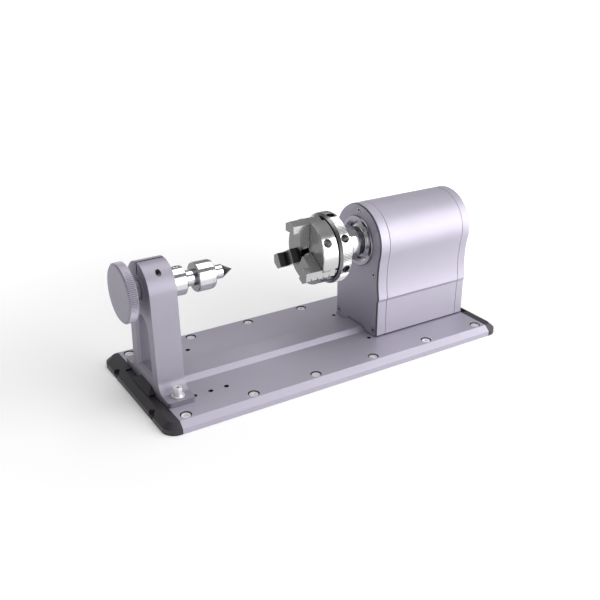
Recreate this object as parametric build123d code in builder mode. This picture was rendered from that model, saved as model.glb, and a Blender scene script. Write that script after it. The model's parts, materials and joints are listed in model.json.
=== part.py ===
from build123d import *
import os
from math import cos, pi, radians, sin, sqrt, tan

# Rotary module: a headstock with a three-jaw scroll chuck and a tailstock with a live centre,
# both on one ribbed base plate.
# X runs along the base plate from the tailstock to the headstock, Y across it, Z up.
# The origin is the middle of the base plate's underside. All sizes are millimetres.

# Base plate
plate_length = 304.0
plate_top_width = 126.6
plate_thickness = 8.8
edge_bevel_run = 5.1
edge_bevel_drop = 4.4
rib_height = 3.7
rib_top_width = 21.0
rib_foot_width = 29.2
bed_screw_end_margin = 7.5
bed_screw_columns = 6
bed_screw_row_gap = 115.0
bed_screw_head_r = 3.7
bed_screw_head_height = 2.6
bed_screw_shank_r = 2.0
bed_screw_recess_r = 4.65
bed_screw_recess_depth = 3.2
screw_hole_clearance = 0.2
cut_margin = 1.0
pick_tolerance = 0.01
screw_socket_share = 0.45
bed_screw_end_lift = 0.5

# End caps
cap_length = 12.5
cap_corner_r = 11.0
cap_tongue_length = 9.0
cap_tongue_height = 3.0
cap_tongue_width = 84.0
cap_fit_gap = 0.2
cap_block_width = 35.0
cap_block_crest = 0.4
cap_pocket_depth = 1.6
cap_pocket_length = 6.0
cap_pocket_width = 14.0
cap_screw_gap = 74.0
cap_screw_z = 5.4
cap_screw_hole_r = 2.0
cap_screw_face_r = 4.4
cap_screw_face_depth = 2.4
cap_screw_head_r = 1.8
cap_screw_head_depth = 5.0
cap_screw_shank_r = 1.2
cap_screw_bite = 7.0
cap_screw_tip_gap = 1.0

# Spindle line
axis_z = 90.9
thread_gap = 0.05
running_gap = 0.05
moving_gap = 0.3

# Headstock housing
headstock_setback = 100.7
headstock_length = 100.6
front_plate_thickness = 1.6
front_plate_inset = 0.6
front_cover_length = 9.3
rear_cover_length = 8.5
seam_gap = 0.2
housing_wall = 1.6
rear_wall = 2.5
housing_edge = 0.6
crown_r = 32.4
crown_z = 91.3
crown_dip = 12.0
hip_half = 31.8
hip_z = 44.6
base_half = 30.5
step_z = 42.2
housing_foot_gap = 0.4
rib_notch_gap = 0.6

# Screws on the front plate and the rear cover, as places across the housing
case_screw_top_margin = 5.2
case_screw_top_z = crown_z + crown_r - case_screw_top_margin
case_screw_mid = (24.0, 66.5)
case_screw_low = (26.4, 14.6)
case_screw_head_r = 2.85
case_screw_shank_r = 1.5
case_screw_length = 8.0
case_screw_sink_angle = 90.0
case_screw_socket_r = 1.15

# Frame inside the headstock
frame_gap = 0.15
frame_slab_height = 6.2
frame_front_thickness = 9.4
frame_boss_r = 24.6
frame_boss_length = 14.8
bulkhead_thickness = 6.0
bulkhead_offset = 52.7
standoff_r = 3.2
frame_bolt_span_x = 62.0
frame_bolt_span_y = 44.0
frame_bolt_r = 2.0
frame_bolt_head_r = 3.5
frame_bolt_head_height = 2.6
frame_bolt_recess_depth = 3.0
frame_bolt_tip_gap = 1.0

# Spindle and its bearings
journal_r = 10.0
front_bearing_r = 21.0
front_bearing_width = 12.0
front_bearing_setback = 1.1
rear_journal_r = 7.5
rear_bearing_r = 16.0
rear_bearing_width = 9.0
rear_bearing_proud = 1.0
rear_boss_floor = 2.0
rear_boss_wall = 4.0
bearing_shoulder = 3.0
journal_step_setback = 1.0
neck_r = 12.5
nose_collar_r = 15.5
nose_collar_length = 8.0
mouth_disc_length = 2.4
mouth_disc_setback = 0.6
nose_thread_r = 7.0
nose_thread_length = 6.0
spindle_bore_r = 4.0
retainer_r = 22.4
retainer_mouth_r = 19.0
retainer_bore_r = 16.5
retainer_proud = 1.6
retainer_edge = 0.5
retainer_spigot_r = 19.4
spindle_nut_r = 11.0
spindle_nut_length = 5.0
spindle_end_proud = 1.0

# Belt drive
motor_axis_z = 37.6
motor_side = 42.3
motor_corner = 4.0
motor_length = 38.0
motor_pilot_r = 11.0
motor_pilot_height = 2.0
motor_shaft_r = 2.5
motor_screw_gap = 31.0
motor_screw_r = 1.5
motor_screw_head_r = 2.7
motor_screw_head_height = 2.4
motor_screw_bore = 4.5
motor_screw_bite = 4.0
motor_shaft_pocket = 3.0
belt_pitch = 3.0
spindle_pulley_teeth = 44
motor_pulley_teeth = 11
belt_width = 9.0
belt_thickness = 1.5
pulley_width = 12.0
pulley_offset = 3.0
pulley_tooth_depth = 1.1
pulley_gap_share = 0.45
pulley_flange_height = 1.6
pulley_flange_thickness = 1.2

# Cable socket on the rear cover
socket_z = 44.0
socket_r = 6.8
socket_flange_r = 9.4
socket_flange_thickness = 1.6
socket_barrel_length = 5.0
socket_mouth_r = 5.2
socket_mouth_depth = 8.0
socket_inner_length = 5.0

# Chuck
chuck_reach = 53.9
chuck_r = 28.3
chuck_body_length = 15.1
chuck_edge = 0.8
chuck_bore_r = 6.0
chuck_hub_r = 9.0
chuck_hub_bite = 4.0
ring_face_gap = 0.5
ring_lead_length = 2.2
ring_lead_drop = 1.5
ring_length = 11.3
ring_r = 30.4
ring_edge = 0.7
flange_r = 18.5
flange_length = 10.2
flange_edge = 1.5
scroll_r = 24.6
scroll_recess_r = 25.2
scroll_pitch = 4.0
scroll_arcs_per_turn = 6
scroll_arcs = 19
scroll_outer_r = 23.6
scroll_ridge = 1.8
scroll_height = 2.2
scroll_recess_depth = 2.6
body_bar_hole_r = 3.7
body_bar_hole_depth = 9.0
body_bar_hole_setback = 5.8
body_bar_hole_turn = 60.0
ring_bar_hole_count = 7
ring_bar_hole_r = 3.5
ring_bar_hole_setback = 6.2
ring_bar_hole_depth = 9.0
ring_bar_hole_turn = 97.4
bar_hole_edge = 0.3

# Jaws, with radii measured from the spindle line as the jaws stand
jaw_angles = (90.0, 210.0, 330.0)
jaw_front_reach = 15.5
jaw_width = 12.6
jaw_neck_width = 8.4
jaw_base_width = 12.2
jaw_slide_gap = 0.2
jaw_face_gap = 0.3
jaw_base_length = 4.7
jaw_tip_r = 3.0
jaw_tip_width = 2.0
jaw_tip_slope = 60.0
jaw_inner_step_r = 8.2
jaw_inner_step_front = 2.8
jaw_middle_step_r = 20.3
jaw_middle_step_front = 9.4
jaw_shoulder_r = 26.6
jaw_outer_r = 29.8
jaw_tooth_thickness = 1.6
jaw_tooth_half_width = 3.6
jaw_first_tooth_r = 12.4
jaw_tooth_limit_r = 27.5
jaw_notch_pitch = 5.85
jaw_notch_count = 5
jaw_notch_start = 4.4
jaw_notch_r = 1.0

# Tailstock
bracket_depth = 22.0
bracket_head_r = 22.0
bracket_shank_half = 25.6
bracket_foot_half = 44.4
bracket_foot_height = 4.2
bracket_flare_r = 9.0
bracket_foot_corner_r = 2.6
rib_channel_gap = 0.4
window_half = 11.0
window_arch_z = 57.7
window_foot_half = 12.4
window_foot_z = 22.6
window_bevel = 2.2
clamp_slit = 1.6
clamp_screw_rise = 16.1
clamp_screw_shank_r = 1.2
clamp_screw_head_r = 1.9
clamp_screw_head_length = 2.4
clamp_screw_socket_r = 0.95
clamp_screw_seat = 9.0
clamp_screw_reach = 9.0
foot_screw_gap = 72.4
foot_screw_pitch = 13.8
foot_screw_stations = 4
foot_screw_r = 2.0
foot_screw_head_r = 3.55
foot_screw_head_height = 6.7
foot_screw_end_lift = 1.5
foot_washer_r = 5.2
foot_washer_height = 1.0
foot_washer_gap = 0.3
spare_hole_setback = 4.9
spare_hole_gap = 55.2
spare_hole_r = 1.8

# Quill and its sleeve
sleeve_r = 11.85
sleeve_back = 0.6
sleeve_nose = 36.1
sleeve_edge = 0.8
sleeve_end_wall = 3.0
quill_r = 6.6
quill_length = 33.5
quill_reach = 45.5
quill_edge = 0.5
quill_screw_bore_depth = 30.0
screw_journal_r = 4.0
screw_thread_r = 3.4
screw_collar_r = 6.2
screw_collar_length = 2.0
screw_collar_gap = 0.2
screw_reach = 34.0
screw_tip_edge = 1.0
key_slot_length = 7.0
key_slot_width = 3.2
key_slot_depth = 1.2
key_slot_setback = 1.0
key_screw_r = 1.4
key_screw_length = 3.3
key_screw_socket_r = 0.85
key_screw_socket_depth = 1.2
keyway_depth = 1.4
keyway_spare = 0.5
quill_travel_in = 6.0
quill_travel_out = 14.0

# Hand knob
knob_r = 22.8
knob_width = 8.0
knob_hub_r = 8.0
knob_standoff = 8.2
knob_web = 2.0
knob_edge = 0.8
knob_screw_r = 1.5
knob_screw_recess = 0.5

# Live centre
centre_body_r = 12.3
centre_body_length = 13.5
centre_body_edge = 0.9
centre_wall = 2.8
centre_floor = 3.0
centre_groove_width = 0.6
centre_groove_depth = 0.5
centre_rim_length = 1.4
centre_stub_r = 4.0
centre_stub_length = 2.4
centre_cap_r = 11.4
centre_cap_thickness = 1.8
centre_cap_edge = 0.6
centre_race_setback = 1.0
centre_spindle_setback = 0.5
centre_journal_r = 4.0
centre_nose_r = 5.8
centre_nose_length = 8.4
centre_tip_angle = 60.0
centre_tip_shank_r = 2.4
centre_tip_shank_length = 5.0

# Places that follow from the sizes above
plate_half = plate_length / 2
plate_top = plate_thickness
rib_top = plate_top + rib_height
plate_width = plate_top_width + 2 * edge_bevel_run
tail_face = -plate_half
bed_screw_pitch = (plate_length - 2 * bed_screw_end_margin) / (bed_screw_columns - 1)
headstock_front = plate_half - headstock_setback
headstock_rear = headstock_front + headstock_length
front_cover_start = headstock_front + front_plate_thickness
front_cover_end = front_cover_start + front_cover_length
rear_cover_start = headstock_rear - rear_cover_length
housing_foot = plate_top + housing_foot_gap
bulkhead_start = front_cover_start + bulkhead_offset
bulkhead_end = bulkhead_start + bulkhead_thickness
chuck_face = headstock_front - chuck_reach
chuck_back = chuck_face + chuck_body_length
ring_front = chuck_back + ring_face_gap
ring_back = ring_front + ring_length
flange_front = ring_back + moving_gap
flange_back = flange_front + flange_length
spindle_section = Plane(origin=(0, 0, axis_z), x_dir=(1, 0, 0), z_dir=(0, -1, 0))
spindle_axis = Axis((0, 0, axis_z), (1, 0, 0))

case_screw_places = [
    (0.0, case_screw_top_z),
    (case_screw_mid[0], case_screw_mid[1]),
    (-case_screw_mid[0], case_screw_mid[1]),
    (case_screw_low[0], case_screw_low[1]),
    (-case_screw_low[0], case_screw_low[1]),
]


def flat_outline(plane, points):
    """Closed flat face through the given points of the plane."""
    with BuildSketch(plane) as face:
        with BuildLine():
            Polyline(*points, close=True)
        make_face()
    return face.sketch


def turned_outline(points):
    """Face of a turned piece: each point is a place along X and a radius."""
    return flat_outline(spindle_section, points)


def disc_outline(x, radius, y=0.0, z=axis_z):
    """Round face across X."""
    with BuildSketch(Plane.YZ.offset(x)) as face:
        with Locations((y, z)):
            Circle(radius)
    return face.sketch


def facing(x, y, z, direction):
    """Plane at a point, with its normal along the given direction."""
    return Plane(origin=(x, y, z), z_dir=direction)


def rib_outline(x, gap):
    """Section of the rib, grown by a gap and carried down past the plate's top."""
    foot = rib_foot_width / 2 + gap
    crest = rib_top_width / 2 + gap
    points = [
        (-foot, plate_top - cut_margin),
        (foot, plate_top - cut_margin),
        (foot, plate_top),
        (crest, rib_top + gap),
        (-crest, rib_top + gap),
        (-foot, plate_top),
    ]
    return flat_outline(Plane.YZ.offset(x), points)


def housing_outline(x, inset=0.0, foot=housing_foot):
    """Headstock section: round crown, drawn-in waist, hip and straight base."""
    with BuildSketch(Plane.YZ.offset(x)) as face:
        with BuildLine():
            crown = CenterArc((0, crown_z), crown_r - inset, -crown_dip, 180 + 2 * crown_dip)
            flank = TangentArc(crown @ 0, (hip_half - inset, hip_z), tangent=(crown % 0) * -1)
            step = Line((hip_half - inset, hip_z), (base_half - inset, step_z))
            side = Line((base_half - inset, step_z), (base_half - inset, foot))
            mirror([flank, step, side], about=Plane.YZ)
            Line((base_half - inset, foot), (inset - base_half, foot))
        make_face()
    return face.sketch


def cap_screw_planes(end):
    """Seats of one end cap's two screws, on the cap's outer face."""
    outer = end * (plate_half + cap_length)
    return [facing(outer, side * cap_screw_gap / 2, cap_screw_z, (end, 0, 0)) for side in (-1, 1)]


# Base plate

plate_section = [
    (-plate_width / 2, 0),
    (plate_width / 2, 0),
    (plate_width / 2, plate_top - edge_bevel_drop),
    (plate_top_width / 2, plate_top),
    (rib_foot_width / 2, plate_top),
    (rib_top_width / 2, rib_top),
    (-rib_top_width / 2, rib_top),
    (-rib_foot_width / 2, plate_top),
    (-plate_top_width / 2, plate_top),
    (-plate_width / 2, plate_top - edge_bevel_drop),
]
foot_screw_x = tail_face + bracket_depth / 2
foot_row_mid = foot_screw_x + foot_screw_pitch * (foot_screw_stations - 1) / 2
frame_middle = (front_cover_start + rear_cover_start) / 2

with BuildPart() as base_plate:
    extrude(flat_outline(Plane.YZ.offset(-plate_half), plate_section), amount=plate_length)
    with Locations((0, 0, plate_top)):
        with GridLocations(bed_screw_pitch, bed_screw_row_gap, bed_screw_columns, 2):
            CounterBoreHole(
                radius=bed_screw_shank_r + screw_hole_clearance,
                counter_bore_radius=bed_screw_recess_r,
                counter_bore_depth=bed_screw_recess_depth,
            )
    with Locations((foot_row_mid, 0, plate_top)):
        with GridLocations(foot_screw_pitch, foot_screw_gap, foot_screw_stations, 2):
            Hole(radius=foot_screw_r + thread_gap)
    with Locations((headstock_front - spare_hole_setback, 0, plate_top)):
        with GridLocations(1, spare_hole_gap, 1, 2):
            Hole(radius=spare_hole_r)
    with Locations(facing(frame_middle, 0, 0, (0, 0, -1))):
        with GridLocations(frame_bolt_span_x, frame_bolt_span_y, 2, 2):
            CounterBoreHole(
                radius=frame_bolt_r + screw_hole_clearance,
                counter_bore_radius=frame_bolt_head_r + screw_hole_clearance,
                counter_bore_depth=frame_bolt_recess_depth,
            )
    for end in (-1, 1):
        with Locations((end * (plate_half - cap_tongue_length / 2), 0, cap_tongue_height / 2)):
            Box(
                cap_tongue_length + 2 * cap_fit_gap,
                cap_tongue_width + 2 * cap_fit_gap,
                cap_tongue_height + 2 * cap_fit_gap,
                mode=Mode.SUBTRACT,
            )
        for side in (-1, 1):
            with Locations(facing(end * plate_half, side * cap_screw_gap / 2, cap_screw_z, (end, 0, 0))):
                Hole(radius=cap_screw_shank_r + thread_gap, depth=cap_screw_bite)
base_plate.part.label = "base_plate"

with BuildPart() as base_screws:
    head_floor = plate_top - bed_screw_recess_depth
    with GridLocations(bed_screw_pitch, bed_screw_row_gap, bed_screw_columns, 2):
        with Locations((0, 0, head_floor)):
            Cylinder(
                radius=bed_screw_head_r,
                height=bed_screw_head_height,
                align=(Align.CENTER, Align.CENTER, Align.MIN),
            )
            Cylinder(
                radius=bed_screw_shank_r,
                height=head_floor - bed_screw_end_lift,
                align=(Align.CENTER, Align.CENTER, Align.MAX),
            )
    socket_plane = Plane.XY.offset(head_floor + bed_screw_head_height)
    with BuildSketch(socket_plane):
        with GridLocations(bed_screw_pitch, bed_screw_row_gap, bed_screw_columns, 2):
            RegularPolygon(radius=bed_screw_head_r * screw_socket_share, side_count=6)
    extrude(amount=-bed_screw_head_height / 2, mode=Mode.SUBTRACT)
base_screws.part.label = "base_screws"


# End caps

def end_cap(end):
    """One moulded end cap: end is -1 at the tailstock and 1 at the headstock."""
    joint_x = end * plate_half
    outer_x = end * (plate_half + cap_length)
    middle_x = (joint_x + outer_x) / 2
    with BuildPart() as cap:
        with BuildSketch():
            with Locations((middle_x, 0)):
                Rectangle(cap_length, plate_width)
        extrude(amount=plate_thickness)
        uprights = cap.edges().filter_by(Axis.Z)
        corners = [edge for edge in uprights if abs(edge.center().X - outer_x) < pick_tolerance]
        fillet(corners, radius=cap_corner_r)
        top = cap.faces().sort_by(Axis.Z)[-1]
        rim = [edge for edge in top.edges() if abs(edge.center().X - joint_x) > pick_tolerance]
        chamfer(rim, length=edge_bevel_run, length2=edge_bevel_drop, reference=top)
        block = [
            (joint_x, 0),
            (outer_x, 0),
            (outer_x, plate_top - edge_bevel_drop),
            (joint_x + end * cap_block_crest, rib_top),
            (joint_x, rib_top),
        ]
        extrude(flat_outline(Plane.XZ, block), amount=cap_block_width / 2, both=True)
        slope = flat_outline(
            Plane.YZ.offset(joint_x),
            [
                (rib_top_width / 2, rib_top + cut_margin),
                (rib_top_width / 2, rib_top),
                (cap_block_width / 2, plate_top),
                (cap_block_width / 2 + cut_margin, plate_top),
                (cap_block_width / 2 + cut_margin, rib_top + cut_margin),
            ],
        )
        extrude(slope, amount=end * cap_length, mode=Mode.SUBTRACT)
        extrude(mirror(slope, about=Plane.XZ, mode=Mode.PRIVATE), amount=end * cap_length, mode=Mode.SUBTRACT)
        pocket_y = cap_block_width / 2 + cap_pocket_width / 2
        for side in (-1, 1):
            with Locations((joint_x, side * pocket_y, plate_top)):
                Box(2 * cap_pocket_length, cap_pocket_width, 2 * cap_pocket_depth, mode=Mode.SUBTRACT)
        with Locations(*cap_screw_planes(end)):
            CounterBoreHole(
                radius=cap_screw_hole_r,
                counter_bore_radius=cap_screw_face_r,
                counter_bore_depth=cap_screw_face_depth,
                depth=cap_screw_head_depth + cap_screw_face_depth,
            )
            Hole(radius=cap_screw_shank_r + screw_hole_clearance, depth=cap_length)
        with Locations((joint_x - end * cap_tongue_length / 2, 0, 0)):
            Box(
                cap_tongue_length,
                cap_tongue_width,
                cap_tongue_height,
                align=(Align.CENTER, Align.CENTER, Align.MIN),
            )
    return cap


end_cap_left = end_cap(-1)
end_cap_left.part.label = "end_cap_left"
end_cap_right = end_cap(1)
end_cap_right.part.label = "end_cap_right"

with BuildPart() as end_cap_screws:
    head_start = cap_length - cap_screw_face_depth - cap_screw_head_depth
    for end in (-1, 1):
        for side in (-1, 1):
            seat = facing(end * (plate_half + head_start), side * cap_screw_gap / 2, cap_screw_z, (end, 0, 0))
            with Locations(seat):
                Cylinder(
                    radius=cap_screw_head_r,
                    height=cap_screw_head_r,
                    align=(Align.CENTER, Align.CENTER, Align.MIN),
                )
                Cylinder(
                    radius=cap_screw_shank_r,
                    height=head_start + cap_screw_bite - cap_screw_tip_gap,
                    align=(Align.CENTER, Align.CENTER, Align.MAX),
                )
end_cap_screws.part.label = "end_cap_screws"


# Headstock housing

case_head_depth = case_screw_head_r - case_screw_shank_r

with BuildPart() as front_plate:
    extrude(housing_outline(headstock_front, front_plate_inset), amount=front_plate_thickness)
    extrude(
        rib_outline(headstock_front, rib_notch_gap),
        amount=front_plate_thickness,
        mode=Mode.SUBTRACT,
    )
    with Locations(facing(headstock_front, 0, axis_z, (-1, 0, 0))):
        Hole(radius=retainer_spigot_r + thread_gap, depth=front_plate_thickness)
    with Locations(*[facing(headstock_front, y, z, (-1, 0, 0)) for y, z in case_screw_places]):
        CounterSinkHole(
            radius=case_screw_shank_r + screw_hole_clearance,
            counter_sink_radius=case_screw_head_r + screw_hole_clearance,
            depth=front_plate_thickness,
            counter_sink_angle=case_screw_sink_angle,
        )
front_plate.part.label = "front_plate"

with BuildPart() as front_cover:
    extrude(housing_outline(front_cover_start), amount=front_cover_length - seam_gap)
    extrude(
        housing_outline(front_cover_start, housing_wall, plate_top - cut_margin),
        amount=front_cover_length - seam_gap,
        mode=Mode.SUBTRACT,
    )
front_cover.part.label = "front_cover"

with BuildPart() as body_shell:
    shell_length = rear_cover_start - front_cover_end
    extrude(housing_outline(front_cover_end), amount=shell_length)
    extrude(
        housing_outline(front_cover_end, housing_wall, plate_top - cut_margin),
        amount=shell_length,
        mode=Mode.SUBTRACT,
    )
body_shell.part.label = "body_shell"

with BuildPart() as rear_cover:
    extrude(housing_outline(rear_cover_start + seam_gap), amount=rear_cover_length - seam_gap)
    rear_rim = rear_cover.faces().sort_by(Axis.X)[-1].outer_wire().edges()
    chamfer(rear_rim, length=housing_edge)
    extrude(
        housing_outline(rear_cover_start, housing_wall, plate_top - cut_margin),
        amount=rear_cover_length - rear_wall,
        mode=Mode.SUBTRACT,
    )
    extrude(
        rib_outline(rear_cover_start, rib_notch_gap),
        amount=rear_cover_length,
        mode=Mode.SUBTRACT,
    )
    with Locations(facing(headstock_rear, 0, socket_z, (1, 0, 0))):
        Hole(radius=socket_r + thread_gap, depth=rear_wall)
    with Locations(*[facing(headstock_rear, y, z, (1, 0, 0)) for y, z in case_screw_places]):
        CounterSinkHole(
            radius=case_screw_shank_r + screw_hole_clearance,
            counter_sink_radius=case_screw_head_r + screw_hole_clearance,
            depth=rear_wall,
            counter_sink_angle=case_screw_sink_angle,
        )
rear_cover.part.label = "rear_cover"


def case_screws(face_x, inward):
    """Countersunk screws of one end of the housing: inward is the way that they are driven."""
    with BuildPart() as screws:
        for y, z in case_screw_places:
            with Locations(facing(face_x, y, z, (-inward, 0, 0))):
                Cone(
                    bottom_radius=case_screw_shank_r,
                    top_radius=case_screw_head_r,
                    height=case_head_depth,
                    align=(Align.CENTER, Align.CENTER, Align.MAX),
                )
                Cylinder(
                    radius=case_screw_shank_r,
                    height=case_screw_length,
                    align=(Align.CENTER, Align.CENTER, Align.MAX),
                )
            with BuildSketch(facing(face_x, y, z, (-inward, 0, 0))):
                RegularPolygon(radius=case_screw_socket_r, side_count=6)
            extrude(amount=-case_head_depth, mode=Mode.SUBTRACT)
    return screws


front_plate_screws = case_screws(headstock_front, 1)
front_plate_screws.part.label = "front_plate_screws"
rear_cover_screws = case_screws(headstock_rear, -1)
rear_cover_screws.part.label = "rear_cover_screws"


# Frame inside the headstock: floor slab, front wall with the spindle boss, bulkhead for the motor

front_bearing_start = front_cover_start + front_bearing_setback
front_bearing_end = front_bearing_start + front_bearing_width
rear_bearing_start = bulkhead_end - rear_bearing_width + rear_bearing_proud
rear_boss_start = bulkhead_end - rear_bearing_width - rear_boss_floor
pulley_start = bulkhead_end + pulley_offset
frame_inset = housing_wall + frame_gap

with BuildPart() as headstock_frame:
    extrude(
        housing_outline(front_cover_start, frame_inset, plate_top),
        amount=frame_front_thickness,
    )
    extrude(disc_outline(front_cover_start, frame_boss_r), amount=frame_boss_length)
    extrude(housing_outline(bulkhead_start, frame_inset, plate_top), amount=bulkhead_thickness)
    extrude(
        disc_outline(rear_boss_start, rear_bearing_r + rear_boss_wall),
        amount=bulkhead_end - rear_boss_start,
    )
    slab_length = rear_cover_start - front_cover_start
    slab_half = base_half - frame_inset
    with Locations((front_cover_start + slab_length / 2, 0, plate_top)):
        Box(
            slab_length,
            2 * slab_half,
            frame_slab_height,
            align=(Align.CENTER, Align.CENTER, Align.MIN),
        )
    for y, z in case_screw_places:
        extrude(disc_outline(bulkhead_end, standoff_r, y, z), amount=rear_cover_start - bulkhead_end)
    extrude(
        housing_outline(front_cover_start, frame_inset, plate_top),
        amount=slab_length,
        mode=Mode.INTERSECT,
    )
    extrude(
        rib_outline(front_cover_start, rib_channel_gap),
        amount=slab_length,
        mode=Mode.SUBTRACT,
    )
    extrude(
        disc_outline(front_cover_start, front_bearing_r + thread_gap),
        amount=front_bearing_end - front_cover_start,
        mode=Mode.SUBTRACT,
    )
    extrude(
        disc_outline(front_bearing_end, front_bearing_r - bearing_shoulder),
        amount=frame_boss_length,
        mode=Mode.SUBTRACT,
    )
    extrude(
        disc_outline(rear_bearing_start, rear_bearing_r + thread_gap),
        amount=rear_bearing_width,
        mode=Mode.SUBTRACT,
    )
    extrude(
        disc_outline(rear_boss_start - cut_margin, rear_bearing_r - bearing_shoulder),
        amount=rear_bearing_start - rear_boss_start + cut_margin,
        mode=Mode.SUBTRACT,
    )
    extrude(
        disc_outline(bulkhead_start, motor_pilot_r + thread_gap, 0.0, motor_axis_z),
        amount=bulkhead_thickness,
        mode=Mode.SUBTRACT,
    )
    with Locations(facing(bulkhead_end, 0, motor_axis_z, (1, 0, 0))):
        with GridLocations(motor_screw_gap, motor_screw_gap, 2, 2):
            Hole(radius=motor_screw_r + screw_hole_clearance, depth=bulkhead_thickness)
    with Locations(*[facing(front_cover_start, y, z, (-1, 0, 0)) for y, z in case_screw_places]):
        Hole(radius=case_screw_shank_r + thread_gap, depth=case_screw_length)
    with Locations(*[facing(rear_cover_start, y, z, (1, 0, 0)) for y, z in case_screw_places]):
        Hole(radius=case_screw_shank_r + thread_gap, depth=case_screw_length)
    with Locations(facing(frame_middle, 0, plate_top, (0, 0, -1))):
        with GridLocations(frame_bolt_span_x, frame_bolt_span_y, 2, 2):
            Hole(radius=frame_bolt_r + thread_gap, depth=frame_slab_height)
headstock_frame.part.label = "headstock_frame"

with BuildPart() as headstock_bolts:
    for sx in (-1, 1):
        for sy in (-1, 1):
            bolt_x = frame_middle + sx * frame_bolt_span_x / 2
            bolt_y = sy * frame_bolt_span_y / 2
            with Locations((bolt_x, bolt_y, frame_bolt_recess_depth)):
                Cylinder(
                    radius=frame_bolt_head_r,
                    height=frame_bolt_head_height,
                    align=(Align.CENTER, Align.CENTER, Align.MAX),
                )
                Cylinder(
                    radius=frame_bolt_r,
                    height=plate_top + frame_slab_height - frame_bolt_recess_depth - frame_bolt_tip_gap,
                    align=(Align.CENTER, Align.CENTER, Align.MIN),
                )
headstock_bolts.part.label = "headstock_bolts"


# Spindle, bearings and the ring that holds them

neck_back = front_bearing_start - moving_gap
mouth_disc_front = neck_back - mouth_disc_length - mouth_disc_setback
spindle_end = pulley_start + pulley_width + spindle_nut_length + spindle_end_proud
nose_front = flange_back - nose_thread_length
journal_step = rear_bearing_start - journal_step_setback

with BuildPart() as spindle:
    spindle_points = [
        (nose_front, spindle_bore_r),
        (nose_front, nose_thread_r),
        (flange_back, nose_thread_r),
        (flange_back, nose_collar_r),
        (flange_back + nose_collar_length, nose_collar_r),
        (flange_back + nose_collar_length, neck_r),
        (mouth_disc_front, neck_r),
        (mouth_disc_front + mouth_disc_length, retainer_bore_r - moving_gap),
        (neck_back, retainer_bore_r - moving_gap),
        (neck_back, journal_r),
        (journal_step, journal_r),
        (journal_step, rear_journal_r),
        (spindle_end, rear_journal_r),
        (spindle_end, spindle_bore_r),
    ]
    revolve(turned_outline(spindle_points), axis=spindle_axis)
spindle.part.label = "spindle"

with BuildPart() as front_bearing:
    front_bearing_points = [
        (front_bearing_start, journal_r + running_gap),
        (front_bearing_end, journal_r + running_gap),
        (front_bearing_end, front_bearing_r),
        (front_bearing_start, front_bearing_r),
    ]
    revolve(turned_outline(front_bearing_points), axis=spindle_axis)
front_bearing.part.label = "front_bearing"

with BuildPart() as rear_bearing:
    rear_bearing_points = [
        (rear_bearing_start, rear_journal_r + running_gap),
        (rear_bearing_start + rear_bearing_width, rear_journal_r + running_gap),
        (rear_bearing_start + rear_bearing_width, rear_bearing_r),
        (rear_bearing_start, rear_bearing_r),
    ]
    revolve(turned_outline(rear_bearing_points), axis=spindle_axis)
rear_bearing.part.label = "rear_bearing"

with BuildPart() as bearing_retainer:
    retainer_front = headstock_front - retainer_proud
    retainer_points = [
        (retainer_front + retainer_edge, retainer_r),
        (retainer_front, retainer_r - retainer_edge),
        (retainer_front, retainer_mouth_r),
        (headstock_front, retainer_bore_r),
        (front_bearing_start, retainer_bore_r),
        (front_bearing_start, retainer_spigot_r),
        (headstock_front, retainer_spigot_r),
        (headstock_front, retainer_r),
    ]
    revolve(turned_outline(retainer_points), axis=spindle_axis)
bearing_retainer.part.label = "bearing_retainer"

with BuildPart() as spindle_nut:
    nut_start = pulley_start + pulley_width
    with BuildSketch(Plane.YZ.offset(nut_start)):
        with Locations((0, axis_z)):
            RegularPolygon(radius=spindle_nut_r, side_count=6)
            Circle(rear_journal_r + thread_gap, mode=Mode.SUBTRACT)
    extrude(amount=spindle_nut_length)
spindle_nut.part.label = "spindle_nut"


# Belt drive

def toothed_pulley(teeth, bore_r, centre_z, flanges):
    """Toothed pulley on a line along X, with its teeth cut as slots in the rim."""
    rim_r = teeth * belt_pitch / (2 * pi)
    slot_width = belt_pitch * pulley_gap_share
    with BuildPart() as pulley:
        with BuildSketch(Plane.YZ.offset(pulley_start)):
            with Locations((0, centre_z)):
                Circle(rim_r)
                with PolarLocations(rim_r, teeth):
                    Rectangle(2 * pulley_tooth_depth, slot_width, mode=Mode.SUBTRACT)
                Circle(bore_r, mode=Mode.SUBTRACT)
        extrude(amount=pulley_width)
        if flanges:
            for x in (pulley_start, pulley_start + pulley_width - pulley_flange_thickness):
                with BuildSketch(Plane.YZ.offset(x)):
                    with Locations((0, centre_z)):
                        Circle(rim_r + pulley_flange_height)
                        Circle(bore_r, mode=Mode.SUBTRACT)
                extrude(amount=pulley_flange_thickness)
    return pulley


spindle_pulley = toothed_pulley(spindle_pulley_teeth, rear_journal_r + thread_gap, axis_z, False)
spindle_pulley.part.label = "spindle_pulley"
motor_pulley = toothed_pulley(motor_pulley_teeth, motor_shaft_r + thread_gap, motor_axis_z, True)
motor_pulley.part.label = "motor_pulley"


def belt_loop(clearance):
    """Face inside a taut loop round both pulleys, at a clearance from their rims."""
    large_r = spindle_pulley_teeth * belt_pitch / (2 * pi) + clearance
    small_r = motor_pulley_teeth * belt_pitch / (2 * pi) + clearance
    with BuildSketch(Plane.YZ.offset(pulley_start + (pulley_width - belt_width) / 2)) as loop:
        with BuildLine():
            span = axis_z - motor_axis_z
            lean = (large_r - small_r) / span
            rise = sqrt(1 - lean * lean)
            small_y, small_z = small_r * rise, motor_axis_z - small_r * lean
            large_y, large_z = large_r * rise, axis_z - large_r * lean
            low = Line((small_y, small_z), (large_y, large_z))
            ThreePointArc(low @ 1, (0, axis_z + large_r), (-large_y, large_z))
            high = Line((-large_y, large_z), (-small_y, small_z))
            ThreePointArc(high @ 1, (0, motor_axis_z - small_r), low @ 0)
        make_face()
    return loop.sketch


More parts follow.
